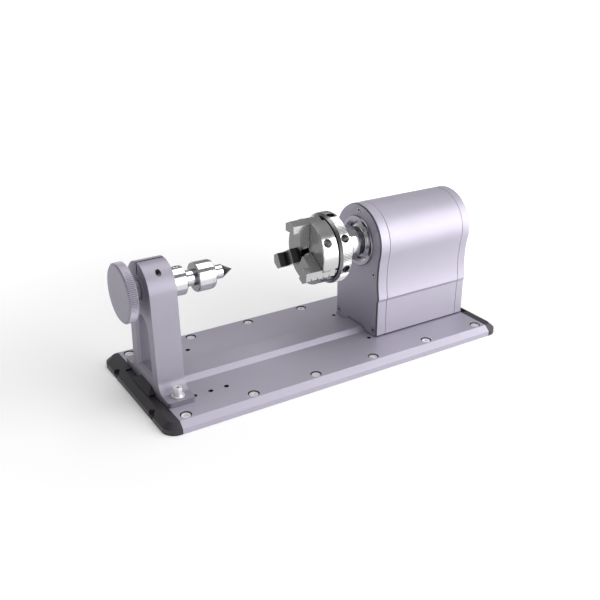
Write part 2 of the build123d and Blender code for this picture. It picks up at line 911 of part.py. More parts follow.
with BuildPart() as drive_belt:
    extrude(belt_loop(moving_gap + belt_thickness), amount=belt_width)
    extrude(belt_loop(moving_gap), amount=belt_width, mode=Mode.SUBTRACT)
drive_belt.part.label = "drive_belt"

with BuildPart() as stepper_motor:
    with BuildSketch(Plane.YZ.offset(bulkhead_start - motor_length)) as motor_face:
        with Locations((0, motor_axis_z)):
            Rectangle(motor_side, motor_side)
        chamfer(motor_face.vertices(), length=motor_corner)
    extrude(amount=motor_length)
    extrude(disc_outline(bulkhead_start, motor_pilot_r, 0.0, motor_axis_z), amount=motor_pilot_height)
    extrude(
        disc_outline(bulkhead_start - motor_shaft_pocket, motor_shaft_r + moving_gap, 0.0, motor_axis_z),
        amount=motor_shaft_pocket + motor_pilot_height,
        mode=Mode.SUBTRACT,
    )
    with Locations(facing(bulkhead_start, 0, motor_axis_z, (1, 0, 0))):
        with GridLocations(motor_screw_gap, motor_screw_gap, 2, 2):
            Hole(radius=motor_screw_r + thread_gap, depth=motor_screw_bore)
stepper_motor.part.label = "stepper_motor"

with BuildPart() as motor_screws:
    for sy in (-1, 1):
        for sz in (-1, 1):
            place = facing(
                bulkhead_end,
                sy * motor_screw_gap / 2,
                motor_axis_z + sz * motor_screw_gap / 2,
                (1, 0, 0),
            )
            with Locations(place):
                Cylinder(
                    radius=motor_screw_head_r,
                    height=motor_screw_head_height,
                    align=(Align.CENTER, Align.CENTER, Align.MIN),
                )
                Cylinder(
                    radius=motor_screw_r,
                    height=bulkhead_thickness + motor_screw_bite,
                    align=(Align.CENTER, Align.CENTER, Align.MAX),
                )
motor_screws.part.label = "motor_screws"

with BuildPart() as motor_shaft:
    shaft_start = bulkhead_start - motor_shaft_pocket + moving_gap
    extrude(
        disc_outline(shaft_start, motor_shaft_r, 0.0, motor_axis_z),
        amount=pulley_start + pulley_width - shaft_start,
    )
motor_shaft.part.label = "motor_shaft"

with BuildPart() as cable_socket:
    barrel_front = headstock_rear + socket_flange_thickness + socket_barrel_length
    extrude(
        disc_outline(headstock_rear - rear_wall - socket_inner_length, socket_r, 0.0, socket_z),
        amount=barrel_front - headstock_rear + rear_wall + socket_inner_length,
    )
    extrude(
        disc_outline(headstock_rear, socket_flange_r, 0.0, socket_z),
        amount=socket_flange_thickness,
    )
    extrude(
        disc_outline(barrel_front - socket_mouth_depth, socket_mouth_r, 0.0, socket_z),
        amount=socket_mouth_depth,
        mode=Mode.SUBTRACT,
    )
cable_socket.part.label = "cable_socket"


# Chuck

recess_floor = chuck_back - scroll_recess_depth
jaw_back = recess_floor
scroll_face = jaw_back + moving_gap + scroll_height
hub_end = flange_front + chuck_hub_bite
jaw_front = chuck_face - jaw_face_gap - jaw_front_reach
neck_start = chuck_face - jaw_face_gap
neck_end = jaw_back - jaw_base_length


def radial_plane(x, angle, radius):
    """Plane on the spindle line's rim at an angle, with its normal pointing away from the line."""
    out_y = cos(radians(angle))
    out_z = sin(radians(angle))
    return Plane(
        origin=(x, radius * out_y, axis_z + radius * out_z),
        x_dir=(1, 0, 0),
        z_dir=(0, out_y, out_z),
    )


def bar_holes(x, radius, angles, hole_r, depth):
    """Radial cutters for the tightening bar, each with a bevelled mouth."""
    with BuildPart(mode=Mode.PRIVATE) as cutters:
        with Locations(*[radial_plane(x, angle, radius) for angle in angles]):
            Cylinder(radius=hole_r, height=2 * depth)
            Cone(
                bottom_radius=hole_r,
                top_radius=hole_r + 2 * bar_hole_edge,
                height=2 * bar_hole_edge,
            )
    return cutters.part


def slot_cutter(angle):
    """T-shaped radial slot of one jaw, open at the chuck's rim."""
    seat = radial_plane(0, angle, 0)
    with BuildPart(mode=Mode.PRIVATE) as cutter:
        with BuildSketch(seat):
            neck_half = jaw_neck_width / 2 + jaw_slide_gap
            base_half_width = jaw_base_width / 2 + jaw_slide_gap
            with BuildLine():
                Polyline(
                    (chuck_face - cut_margin, -neck_half),
                    (neck_end - jaw_slide_gap, -neck_half),
                    (neck_end - jaw_slide_gap, -base_half_width),
                    (chuck_back, -base_half_width),
                    (chuck_back, base_half_width),
                    (neck_end - jaw_slide_gap, base_half_width),
                    (neck_end - jaw_slide_gap, neck_half),
                    (chuck_face - cut_margin, neck_half),
                    close=True,
                )
            make_face()
        extrude(amount=chuck_r + cut_margin)
    return cutter.part


with BuildPart() as chuck_body:
    body_points = [
        (chuck_face, chuck_bore_r),
        (chuck_face, chuck_r - chuck_edge),
        (chuck_face + chuck_edge, chuck_r),
        (chuck_back - chuck_edge, chuck_r),
        (chuck_back, chuck_r - chuck_edge),
        (chuck_back, scroll_recess_r),
        (recess_floor, scroll_recess_r),
        (recess_floor, chuck_bore_r),
    ]
    revolve(turned_outline(body_points), axis=spindle_axis)
    for jaw_angle in jaw_angles:
        add(slot_cutter(jaw_angle), mode=Mode.SUBTRACT)
    hub_points = [
        (recess_floor, chuck_bore_r),
        (hub_end, chuck_bore_r),
        (hub_end, chuck_hub_r),
        (recess_floor, chuck_hub_r),
    ]
    revolve(turned_outline(hub_points), axis=spindle_axis)
    body_hole_x = chuck_face + body_bar_hole_setback
    body_hole_angles = [angle + body_bar_hole_turn for angle in jaw_angles]
    add(
        bar_holes(body_hole_x, chuck_r, body_hole_angles, body_bar_hole_r, body_bar_hole_depth),
        mode=Mode.SUBTRACT,
    )
chuck_body.part.label = "chuck_body"


def scroll_point(turn, shift):
    """Point of the scroll after some turns from its outer end, at a shift from the ridge's middle line."""
    radius = scroll_outer_r - scroll_pitch * turn + shift
    return (radius * cos(2 * pi * turn), radius * sin(2 * pi * turn))


with BuildPart() as scroll_ring:
    ring_bore_r = chuck_hub_r + moving_gap
    ring_points = [
        (scroll_face, ring_bore_r),
        (ring_back, ring_bore_r),
        (ring_back, ring_r - ring_edge),
        (ring_back - ring_edge, ring_r),
        (ring_front + ring_lead_length, ring_r),
        (ring_front, ring_r - ring_lead_drop),
        (ring_front, scroll_r),
        (scroll_face, scroll_r),
    ]
    revolve(turned_outline(ring_points), axis=spindle_axis)
    scroll_plane = Plane(origin=(scroll_face, 0, axis_z), x_dir=(0, 1, 0), z_dir=(1, 0, 0))
    with BuildSketch(scroll_plane):
        with BuildLine():
            for number in range(scroll_arcs):
                turns = [(number + part) / scroll_arcs_per_turn for part in (0, 0.5, 1)]
                for side in (-scroll_ridge / 2, scroll_ridge / 2):
                    ThreePointArc(*[scroll_point(turn, side) for turn in turns])
            for turn in (0, scroll_arcs / scroll_arcs_per_turn):
                Line(scroll_point(turn, -scroll_ridge / 2), scroll_point(turn, scroll_ridge / 2))
        make_face()
    extrude(amount=-scroll_height)
    ring_hole_x = ring_front + ring_bar_hole_setback
    hole_step = 360 / ring_bar_hole_count
    ring_hole_angles = [ring_bar_hole_turn + hole_step * hole for hole in range(ring_bar_hole_count)]
    add(
        bar_holes(ring_hole_x, ring_r, ring_hole_angles, ring_bar_hole_r, ring_bar_hole_depth),
        mode=Mode.SUBTRACT,
    )
scroll_ring.part.label = "scroll_ring"

with BuildPart() as chuck_flange:
    flange_points = [
        (flange_front, chuck_hub_r + thread_gap),
        (flange_front, flange_r - flange_edge),
        (flange_front + flange_edge, flange_r),
        (flange_back - flange_edge, flange_r),
        (flange_back, flange_r - flange_edge),
        (flange_back, nose_thread_r + thread_gap),
        (hub_end, nose_thread_r + thread_gap),
        (hub_end, chuck_hub_r + thread_gap),
    ]
    revolve(turned_outline(flange_points), axis=spindle_axis)
chuck_flange.part.label = "chuck_flange"


def scroll_groove_r(angle, turn):
    """Radius of the scroll's groove at an angle, counted in turns from the outside."""
    return scroll_outer_r - scroll_pitch * (angle / 360 + turn - 0.5)


def jaw_tooth_radii(angle):
    """Radii of one jaw's rack teeth, each in the middle of the scroll's groove."""
    radii = []
    for turn in range(-3, 6):
        radius = scroll_groove_r(angle, turn)
        if jaw_first_tooth_r <= radius <= jaw_tooth_limit_r:
            radii.append(radius)
    return radii


def sagitta(half_width, radius):
    """Height of an arc of the given radius over half its chord."""
    return radius - sqrt(radius * radius - half_width * half_width)


def jaw(angle):
    """Stepped jaw with V-shaped tip, roofed outer end notched on one side, guide neck and rack teeth."""
    plan_plane = Plane(
        origin=(jaw_front, 0, axis_z),
        x_dir=(0, cos(radians(angle)), sin(radians(angle))),
        z_dir=(1, 0, 0),
    )
    side_plane = Plane(
        origin=(0, 0, axis_z),
        x_dir=(1, 0, 0),
        z_dir=(0, -sin(radians(angle)), cos(radians(angle))),
    )
    half = jaw_width / 2
    tip_half = jaw_tip_width / 2
    tip_back = jaw_tip_r + (half - tip_half) / tan(radians(jaw_tip_slope))
    small_r = scroll_outer_r - scroll_pitch * scroll_arcs / scroll_arcs_per_turn
    with BuildPart() as part:
        with BuildSketch(plan_plane):
            with BuildLine():
                Polyline(
                    (jaw_tip_r, -tip_half),
                    (tip_back, -half),
                    (jaw_shoulder_r, -half),
                    (jaw_outer_r, 0),
                    (jaw_shoulder_r, half),
                    (tip_back, half),
                    (jaw_tip_r, tip_half),
                    close=True,
                )
            make_face()
        extrude(amount=jaw_back - jaw_front)
        with BuildSketch(side_plane):
            with BuildLine():
                Polyline(
                    (jaw_front, jaw_middle_step_r),
                    (neck_start - jaw_middle_step_front, jaw_middle_step_r),
                    (neck_start - jaw_middle_step_front, jaw_inner_step_r),
                    (neck_start - jaw_inner_step_front, jaw_inner_step_r),
                    (neck_start - jaw_inner_step_front, 0),
                    (jaw_front - cut_margin, 0),
                    (jaw_front - cut_margin, jaw_middle_step_r),
                    close=True,
                )
            make_face()
        extrude(amount=jaw_width, both=True, mode=Mode.SUBTRACT)
        with BuildSketch(plan_plane.offset(neck_start - jaw_front)):
            for side in (-1, 1):
                with Locations((jaw_outer_r / 2, side * (jaw_neck_width / 2 + jaw_width / 2))):
                    Rectangle(2 * jaw_outer_r, jaw_width)
        extrude(amount=neck_end - neck_start, mode=Mode.SUBTRACT)
        with BuildSketch(plan_plane.offset(neck_end - jaw_front)):
            for side in (-1, 1):
                with Locations((jaw_outer_r / 2, side * (jaw_base_width / 2 + jaw_width / 2))):
                    Rectangle(2 * jaw_outer_r, jaw_width)
        extrude(amount=jaw_base_length, mode=Mode.SUBTRACT)
        with Locations(side_plane):
            for notch in range(jaw_notch_count):
                with Locations((jaw_front + jaw_notch_start + notch * jaw_notch_pitch, jaw_outer_r, 0)):
                    Cylinder(
                        radius=jaw_notch_r,
                        height=jaw_width,
                        align=(Align.CENTER, Align.CENTER, Align.MAX),
                        mode=Mode.SUBTRACT,
                    )
        for radius in jaw_tooth_radii(angle):
            outer = radius + jaw_tooth_thickness / 2
            inner = radius - jaw_tooth_thickness / 2
            width = jaw_tooth_half_width
            outer_end = outer - sagitta(width, small_r)
            inner_end = inner - sagitta(width, scroll_outer_r)
            with BuildSketch(plan_plane.offset(jaw_back - jaw_front)):
                with BuildLine():
                    ThreePointArc((outer_end, -width), (outer, 0), (outer_end, width))
                    Line((outer_end, width), (inner_end, width))
                    ThreePointArc((inner_end, width), (inner, 0), (inner_end, -width))
                    Line((inner_end, -width), (outer_end, -width))
                make_face()
            extrude(amount=scroll_height)
    return part


jaw_1 = jaw(jaw_angles[0])
jaw_1.part.label = "jaw_1"
jaw_2 = jaw(jaw_angles[1])
jaw_2.part.label = "jaw_2"
jaw_3 = jaw(jaw_angles[2])
jaw_3.part.label = "jaw_3"


# Tailstock bracket

foot_top = plate_top + bracket_foot_height
clamp_z = axis_z + clamp_screw_rise
clamp_x = tail_face + bracket_depth / 2

with BuildPart() as tailstock_bracket:
    with BuildSketch(Plane.YZ.offset(tail_face)):
        with Locations((0, axis_z)):
            Circle(bracket_head_r)
        with BuildLine():
            Polyline(
                (-bracket_shank_half, plate_top),
                (bracket_shank_half, plate_top),
                (bracket_head_r, axis_z),
                (-bracket_head_r, axis_z),
                close=True,
            )
        make_face()
        with Locations((0, plate_top + bracket_foot_height / 2)):
            Rectangle(2 * bracket_foot_half, bracket_foot_height)
    extrude(amount=bracket_depth)
    flare_edges = [
        edge
        for edge in tailstock_bracket.edges().filter_by(Axis.X)
        if abs(edge.center().Z - foot_top) < pick_tolerance
        and abs(edge.center().Y) < bracket_foot_half - pick_tolerance
    ]
    fillet(flare_edges, radius=bracket_flare_r)
    foot_ends = [
        edge
        for edge in tailstock_bracket.edges().filter_by(Axis.Z)
        if abs(abs(edge.center().Y) - bracket_foot_half) < pick_tolerance
    ]
    fillet(foot_ends, radius=bracket_foot_corner_r)
    extrude(
        rib_outline(tail_face - cut_margin, rib_channel_gap),
        amount=bracket_depth + 2 * cut_margin,
        mode=Mode.SUBTRACT,
    )
    with BuildSketch(Plane.YZ.offset(tail_face)):
        with BuildLine():
            CenterArc((0, window_arch_z), window_half, 0, 180)
            Line((-window_half, window_arch_z), (-window_foot_half, window_foot_z))
            Line((-window_foot_half, window_foot_z), (window_foot_half, window_foot_z))
            Line((window_foot_half, window_foot_z), (window_half, window_arch_z))
        make_face()
    extrude(amount=bracket_depth, mode=Mode.SUBTRACT)
    window_rim = [
        edge
        for edge in tailstock_bracket.edges()
        if abs(edge.center().X - tail_face) < pick_tolerance
        and abs(edge.center().Y) < window_foot_half + pick_tolerance
        and window_foot_z - pick_tolerance < edge.center().Z < window_arch_z + window_half
    ]
    chamfer(window_rim, length=window_bevel)
    with Locations(facing(tail_face, 0, axis_z, (-1, 0, 0))):
        Hole(radius=sleeve_r + thread_gap, depth=bracket_depth)
    with Locations((clamp_x, 0, axis_z + bracket_head_r)):
        slit_height = 2 * (bracket_head_r - sleeve_r + cut_margin)
        Box(bracket_depth + cut_margin, clamp_slit, slit_height, mode=Mode.SUBTRACT)
    with Locations(facing(clamp_x, -bracket_head_r, clamp_z, (0, -1, 0))):
        Hole(radius=clamp_screw_head_r + moving_gap, depth=bracket_head_r - clamp_screw_seat)
        Hole(
            radius=clamp_screw_shank_r + running_gap,
            depth=bracket_head_r + clamp_screw_reach + cut_margin,
        )
    with Locations((clamp_x, 0, foot_top)):
        with GridLocations(1, foot_screw_gap, 1, 2):
            Hole(radius=foot_screw_r + screw_hole_clearance, depth=bracket_foot_height + cut_margin)
            Cylinder(
                radius=foot_washer_r + foot_washer_gap,
                height=bracket_flare_r,
                align=(Align.CENTER, Align.CENTER, Align.MIN),
                mode=Mode.SUBTRACT,
            )
tailstock_bracket.part.label = "tailstock_bracket"

with BuildPart() as tailstock_washers:
    with BuildSketch(Plane.XY.offset(foot_top)):
        with Locations((clamp_x, 0)):
            with GridLocations(1, foot_screw_gap, 1, 2):
                Circle(foot_washer_r)
                Circle(foot_screw_r + screw_hole_clearance, mode=Mode.SUBTRACT)
    extrude(amount=foot_washer_height)
tailstock_washers.part.label = "tailstock_washers"

with BuildPart() as tailstock_screws:
    head_base = foot_top + foot_washer_height
    for side in (-1, 1):
        with Locations((clamp_x, side * foot_screw_gap / 2, head_base)):
            Cylinder(
                radius=foot_screw_head_r,
                height=foot_screw_head_height,
                align=(Align.CENTER, Align.CENTER, Align.MIN),
            )
            Cylinder(
                radius=foot_screw_r,
                height=head_base - foot_screw_end_lift,
                align=(Align.CENTER, Align.CENTER, Align.MAX),
            )
    with BuildSketch(Plane.XY.offset(head_base + foot_screw_head_height)):
        with Locations((clamp_x, 0)):
            with GridLocations(1, foot_screw_gap, 1, 2):
                RegularPolygon(radius=foot_screw_head_r * screw_socket_share, side_count=6)
    extrude(amount=-foot_screw_head_height / 2, mode=Mode.SUBTRACT)
tailstock_screws.part.label = "tailstock_screws"

with BuildPart() as quill_clamp_screw:
    with Locations(facing(clamp_x, -clamp_screw_seat, clamp_z, (0, -1, 0))):
        Cylinder(
            radius=clamp_screw_head_r,
            height=clamp_screw_head_length,
            align=(Align.CENTER, Align.CENTER, Align.MIN),
        )
        Cylinder(
            radius=clamp_screw_shank_r,
            height=clamp_screw_seat + clamp_screw_reach,
            align=(Align.CENTER, Align.CENTER, Align.MAX),
        )
    socket_seat = facing(clamp_x, -clamp_screw_seat - clamp_screw_head_length, clamp_z, (0, -1, 0))
    with BuildSketch(socket_seat):
        RegularPolygon(radius=clamp_screw_socket_r, side_count=6)
    extrude(amount=-clamp_screw_head_length / 2, mode=Mode.SUBTRACT)
quill_clamp_screw.part.label = "quill_clamp_screw"


# Quill, its sleeve and the feed screw

sleeve_start = tail_face - sleeve_back
sleeve_end = tail_face + sleeve_nose
collar_start = sleeve_start + sleeve_end_wall + screw_collar_gap
collar_end = collar_start + screw_collar_length
quill_front = tail_face + quill_reach
quill_back = quill_front - quill_length
key_x = sleeve_end - key_slot_length / 2 - key_slot_setback
key_foot_z = axis_z + quill_r - keyway_depth + moving_gap

with BuildPart() as quill_sleeve:
    sleeve_points = [
        (sleeve_start, screw_journal_r + running_gap),
        (sleeve_start, sleeve_r - sleeve_edge),
        (sleeve_start + sleeve_edge, sleeve_r),
        (sleeve_end - sleeve_edge, sleeve_r),
        (sleeve_end, sleeve_r - sleeve_edge),
        (sleeve_end, quill_r + running_gap),
        (sleeve_start + sleeve_end_wall, quill_r + running_gap),
        (sleeve_start + sleeve_end_wall, screw_journal_r + running_gap),
    ]
    revolve(turned_outline(sleeve_points), axis=spindle_axis)
    with BuildSketch(Plane.XY.offset(axis_z + sleeve_r)):
        with Locations((key_x, 0)):
            SlotOverall(key_slot_length, key_slot_width)
    extrude(amount=-key_slot_depth, mode=Mode.SUBTRACT)
    with Locations((key_x, 0, axis_z + sleeve_r)):
        Hole(radius=key_screw_r + thread_gap, depth=sleeve_r)
quill_sleeve.part.label = "quill_sleeve"

with BuildPart() as key_screw:
    with Locations((key_x, 0, key_foot_z)):
        Cylinder(
            radius=key_screw_r,
            height=key_screw_length,
            align=(Align.CENTER, Align.CENTER, Align.MIN),
        )
    with BuildSketch(Plane.XY.offset(key_foot_z + key_screw_length)):
        with Locations((key_x, 0)):
            RegularPolygon(radius=key_screw_socket_r, side_count=6)
    extrude(amount=-key_screw_socket_depth, mode=Mode.SUBTRACT)
key_screw.part.label = "key_screw"

with BuildPart() as quill:
    quill_points = [
        (quill_back, screw_thread_r + moving_gap),
        (quill_back, quill_r - quill_edge),
        (quill_back + quill_edge, quill_r),
        (quill_front, quill_r),
        (quill_front, centre_stub_r + thread_gap),
        (quill_front - centre_stub_length, centre_stub_r + thread_gap),
        (quill_front - centre_stub_length, 0),
        (quill_back + quill_screw_bore_depth, 0),
        (quill_back + quill_screw_bore_depth, screw_thread_r + moving_gap),
    ]
    revolve(turned_outline(quill_points), axis=spindle_axis)
    keyway_start = key_x - quill_travel_out - key_screw_r - keyway_spare
    keyway_end = key_x + quill_travel_in + key_screw_r + keyway_spare
    with Locations(((keyway_start + keyway_end) / 2, 0, axis_z + quill_r)):
        Box(
            keyway_end - keyway_start,
            2 * key_screw_r + 2 * moving_gap,
            2 * keyway_depth,
            mode=Mode.SUBTRACT,
        )
quill.part.label = "quill"

knob_back = tail_face - knob_standoff
knob_front = knob_back - knob_width
screw_end = knob_front + knob_web
screw_tip = tail_face + screw_reach
knob_hub_end = sleeve_start - moving_gap

with BuildPart() as lead_screw:
    screw_points = [
        (screw_end, 0),
        (screw_end, screw_journal_r),
        (collar_start, screw_journal_r),
        (collar_start, screw_collar_r),
        (collar_end, screw_collar_r),
        (collar_end, screw_thread_r),
        (screw_tip - screw_tip_edge, screw_thread_r),
        (screw_tip, screw_thread_r - screw_tip_edge),
        (screw_tip, 0),
    ]
    revolve(turned_outline(screw_points), axis=spindle_axis)
lead_screw.part.label = "lead_screw"

with BuildPart() as hand_knob:
    knob_points = [
        (knob_front, 0),
        (knob_front, knob_r - knob_edge),
        (knob_front + knob_edge, knob_r),
        (knob_back - knob_edge, knob_r),
        (knob_back, knob_r - knob_edge),
        (knob_back, knob_hub_r),
        (knob_hub_end, knob_hub_r),
        (knob_hub_end, screw_journal_r + thread_gap),
        (screw_end, screw_journal_r + thread_gap),
        (screw_end, 0),
    ]
    revolve(turned_outline(knob_points), axis=spindle_axis)
    knob_screw_x = (knob_back + knob_hub_end) / 2
    with Locations(facing(knob_screw_x, 0, axis_z + knob_hub_r, (0, 0, 1))):
        Hole(radius=knob_screw_r + thread_gap, depth=knob_hub_r - screw_journal_r)
hand_knob.part.label = "hand_knob"

with BuildPart() as knob_set_screw:
    with Locations((knob_screw_x, 0, axis_z + screw_journal_r)):
        Cylinder(
            radius=knob_screw_r,
            height=knob_hub_r - screw_journal_r - knob_screw_recess,
            align=(Align.CENTER, Align.CENTER, Align.MIN),
        )
knob_set_screw.part.label = "knob_set_screw"


# Live centre

centre_back = quill_front
centre_mouth = centre_back + centre_body_length
centre_cap_front = centre_mouth + centre_cap_thickness
centre_room_r = centre_body_r - centre_wall
centre_room_back = centre_back + centre_floor
groove_start = centre_mouth - centre_rim_length - centre_groove_width
nose_back = centre_mouth + moving_gap
nose_end = centre_cap_front + centre_nose_length
tip_length = centre_nose_r / tan(radians(centre_tip_angle / 2))

with BuildPart() as live_centre_body:
    centre_points = [
        (centre_back - centre_stub_length, 0),
        (centre_back - centre_stub_length, centre_stub_r),
        (centre_back, centre_stub_r),
        (centre_back, centre_body_r - centre_body_edge),
        (centre_back + centre_body_edge, centre_body_r),
        (groove_start, centre_body_r),
        (groove_start, centre_body_r - centre_groove_depth),
        (groove_start + centre_groove_width, centre_body_r - centre_groove_depth),
        (groove_start + centre_groove_width, centre_body_r - centre_groove_depth / 2),
        (centre_mouth, centre_body_r - centre_groove_depth / 2),
        (centre_mouth, centre_room_r),
        (centre_room_back, centre_room_r),
        (centre_room_back, 0),
    ]
    revolve(turned_outline(centre_points), axis=spindle_axis)
live_centre_body.part.label = "live_centre_body"

with BuildPart() as live_centre_cap:
    cap_points = [
        (centre_mouth, centre_nose_r + moving_gap),
        (centre_mouth, centre_cap_r),
        (centre_cap_front - centre_cap_edge, centre_cap_r),
        (centre_cap_front, centre_cap_r - centre_cap_edge),
        (centre_cap_front, centre_nose_r + moving_gap),
    ]
    revolve(turned_outline(cap_points), axis=spindle_axis)
live_centre_cap.part.label = "live_centre_cap"

with BuildPart() as live_centre_bearing:
    race_points = [
        (centre_room_back + centre_race_setback, centre_journal_r + running_gap),
        (centre_room_back + centre_race_setback, centre_room_r - thread_gap),
        (centre_mouth, centre_room_r - thread_gap),
        (centre_mouth, centre_journal_r + running_gap),
    ]
    revolve(turned_outline(race_points), axis=spindle_axis)
live_centre_bearing.part.label = "live_centre_bearing"

with BuildPart() as centre_spindle:
    nose_points = [
        (centre_room_back + centre_spindle_setback, 0),
        (centre_room_back + centre_spindle_setback, centre_journal_r),
        (nose_back, centre_journal_r),
        (nose_back, centre_nose_r),
        (nose_end, centre_nose_r),
        (nose_end, centre_tip_shank_r + thread_gap),
        (nose_end - centre_tip_shank_length, centre_tip_shank_r + thread_gap),
        (nose_end - centre_tip_shank_length, 0),
    ]
    revolve(turned_outline(nose_points), axis=spindle_axis)
centre_spindle.part.label = "centre_spindle"

with BuildPart() as centre_tip:
    tip_points = [
        (nose_end - centre_tip_shank_length, 0),
        (nose_end - centre_tip_shank_length, centre_tip_shank_r),
        (nose_end, centre_tip_shank_r),
        (nose_end, centre_nose_r),
        (nose_end + tip_length, 0),
    ]
    revolve(turned_outline(tip_points), axis=spindle_axis)
centre_tip.part.label = "centre_tip"


# Every piece, written under its own name

pieces = [
    base_plate,
    base_screws,
    end_cap_left,
    end_cap_right,
    end_cap_screws,
    front_plate,
    front_cover,
    body_shell,
    rear_cover,
    front_plate_screws,
    rear_cover_screws,
    headstock_frame,
    headstock_bolts,
    spindle,
    front_bearing,
    rear_bearing,
    bearing_retainer,
    spindle_nut,
    spindle_pulley,
    motor_pulley,
    drive_belt,
    stepper_motor,
    motor_screws,
    motor_shaft,
    cable_socket,
    chuck_body,
    scroll_ring,
    chuck_flange,
    jaw_1,
    jaw_2,
    jaw_3,
    tailstock_bracket,
    tailstock_washers,
    tailstock_screws,
    quill_clamp_screw,
    quill_sleeve,
    key_screw,
    quill,
    lead_screw,
    hand_knob,
    knob_set_screw,
    live_centre_body,
    live_centre_cap,
    live_centre_bearing,
    centre_spindle,
    centre_tip,
]

os.makedirs("parts", exist_ok=True)
for piece in pieces:
    export_step(piece.part, f"parts/{piece.part.label}.step")
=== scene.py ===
"""Looks of a rotary module: headstock with scroll chuck, tailstock with live centre, ribbed base plate."""

from __future__ import annotations

import json
import logging
import math
from dataclasses import dataclass, field
from enum import Enum
from typing import Callable, Sequence

import bmesh
import bpy
from mathutils import Matrix, Vector

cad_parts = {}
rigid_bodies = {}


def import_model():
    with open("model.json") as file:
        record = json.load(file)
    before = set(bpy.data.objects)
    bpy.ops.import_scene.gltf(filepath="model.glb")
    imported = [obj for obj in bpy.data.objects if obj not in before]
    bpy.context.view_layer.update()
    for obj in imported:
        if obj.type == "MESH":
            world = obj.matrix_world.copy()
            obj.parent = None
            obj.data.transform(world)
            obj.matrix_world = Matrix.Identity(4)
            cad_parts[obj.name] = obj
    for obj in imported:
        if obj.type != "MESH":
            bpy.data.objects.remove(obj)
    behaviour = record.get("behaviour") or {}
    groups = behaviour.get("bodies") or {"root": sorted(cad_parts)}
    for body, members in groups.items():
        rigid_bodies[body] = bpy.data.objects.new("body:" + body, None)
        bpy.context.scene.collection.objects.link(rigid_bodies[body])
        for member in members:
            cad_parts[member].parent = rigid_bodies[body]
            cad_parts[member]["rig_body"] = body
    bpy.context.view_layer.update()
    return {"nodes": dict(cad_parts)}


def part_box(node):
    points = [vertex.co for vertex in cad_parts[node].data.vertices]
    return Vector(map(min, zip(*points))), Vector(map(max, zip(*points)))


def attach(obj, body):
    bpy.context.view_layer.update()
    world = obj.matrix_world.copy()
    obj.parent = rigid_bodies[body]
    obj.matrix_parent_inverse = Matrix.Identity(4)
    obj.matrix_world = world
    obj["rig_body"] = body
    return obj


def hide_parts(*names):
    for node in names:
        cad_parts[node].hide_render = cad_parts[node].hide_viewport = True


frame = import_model()

LOG = logging.getLogger("rotary_module")
MM = 0.001

Colour = tuple[float, float, float]
Point = tuple[float, float, float]
GripStep = tuple[float, float, float]

# Cosines between a face's normal and a direction
FACING = 0.9
MOSTLY_FACING = 0.8
HALF_FACING = 0.5
LEANING = 0.3
SIDEWAYS = 0.2

# Fine relief
BUMP_DEPTH = 0.02 * MM
GROUND_STRETCH = (0.04, 1.0, 1.0)

# Softened edges
WELD_DISTANCE = 0.002 * MM
FLAT_ANGLE = math.radians(0.3)
BEVEL_ANGLE = math.radians(28)
SMOOTH_ANGLE = math.radians(50)
FACE_WEIGHT = 80


class Texture(Enum):
    """Fine relief that a finish carries."""

    BLASTED = "blasted"
    TURNED = "turned"
    MOULDED = "moulded"
    GROUND = "ground"


# Shader groups


def _new_group(
    name: str, inputs: Sequence[tuple[str, str, float]], outputs: Sequence[str]
) -> bpy.types.ShaderNodeTree:
    """Empty shader group with named sockets.

    Args:
        name: name of the group.
        inputs: name, kind and default of each input; the kind is "value" or "vector".
        outputs: names of the value outputs.

    Returns:
        The group, with one input node called "in" and one output node called "out".
    """
    group = bpy.data.node_groups.new(name, "ShaderNodeTree")
    kinds = {"value": "NodeSocketFloat", "vector": "NodeSocketVector"}
    for label, kind, default in inputs:
        socket = group.interface.new_socket(name=label, in_out="INPUT", socket_type=kinds[kind])
        if kind == "value":
            socket.default_value = default
    for label in outputs:
        group.interface.new_socket(name=label, in_out="OUTPUT", socket_type="NodeSocketFloat")
    group.nodes.new("NodeGroupInput").name = "in"
    group.nodes.new("NodeGroupOutput").name = "out"
    return group


def _math(
    tree: bpy.types.NodeTree, operation: str, first: object, second: object = None
) -> bpy.types.NodeSocket:
    """Adds a Math node.

    Args:
        tree: node tree that takes the node.
        operation: Blender's name of the operation.
        first: a socket or a number.
        second: a socket or a number, where the operation has two.

    Returns:
        The node's value output.
    """
    node = tree.nodes.new("ShaderNodeMath")
    node.operation = operation
    for index, source in enumerate((first, second)):
        if isinstance(source, bpy.types.NodeSocket):
            tree.links.new(source, node.inputs[index])
        elif source is not None:
            node.inputs[index].default_value = float(source)
    return node.outputs[0]


def grain_group() -> bpy.types.ShaderNodeTree:
    """Fine irregular grain of blasted metal or moulded plastic.

    Returns:
        The group, made once for all materials; its output is the height of the grain.
    """
    name = "Fine grain"
    if name in bpy.data.node_groups:
        return bpy.data.node_groups[name]
    group = _new_group(name, [("Vector", "vector", 0), ("Grains per Metre", "value", 4000)], ["Height"])
    source, sink = group.nodes["in"], group.nodes["out"]
    noise = group.nodes.new("ShaderNodeTexNoise")
    noise.inputs["Detail"].default_value = 2.0
    group.links.new(source.outputs["Vector"], noise.inputs["Vector"])
    group.links.new(source.outputs["Grains per Metre"], noise.inputs["Scale"])
    group.links.new(noise.outputs["Fac"], sink.inputs["Height"])
    return group


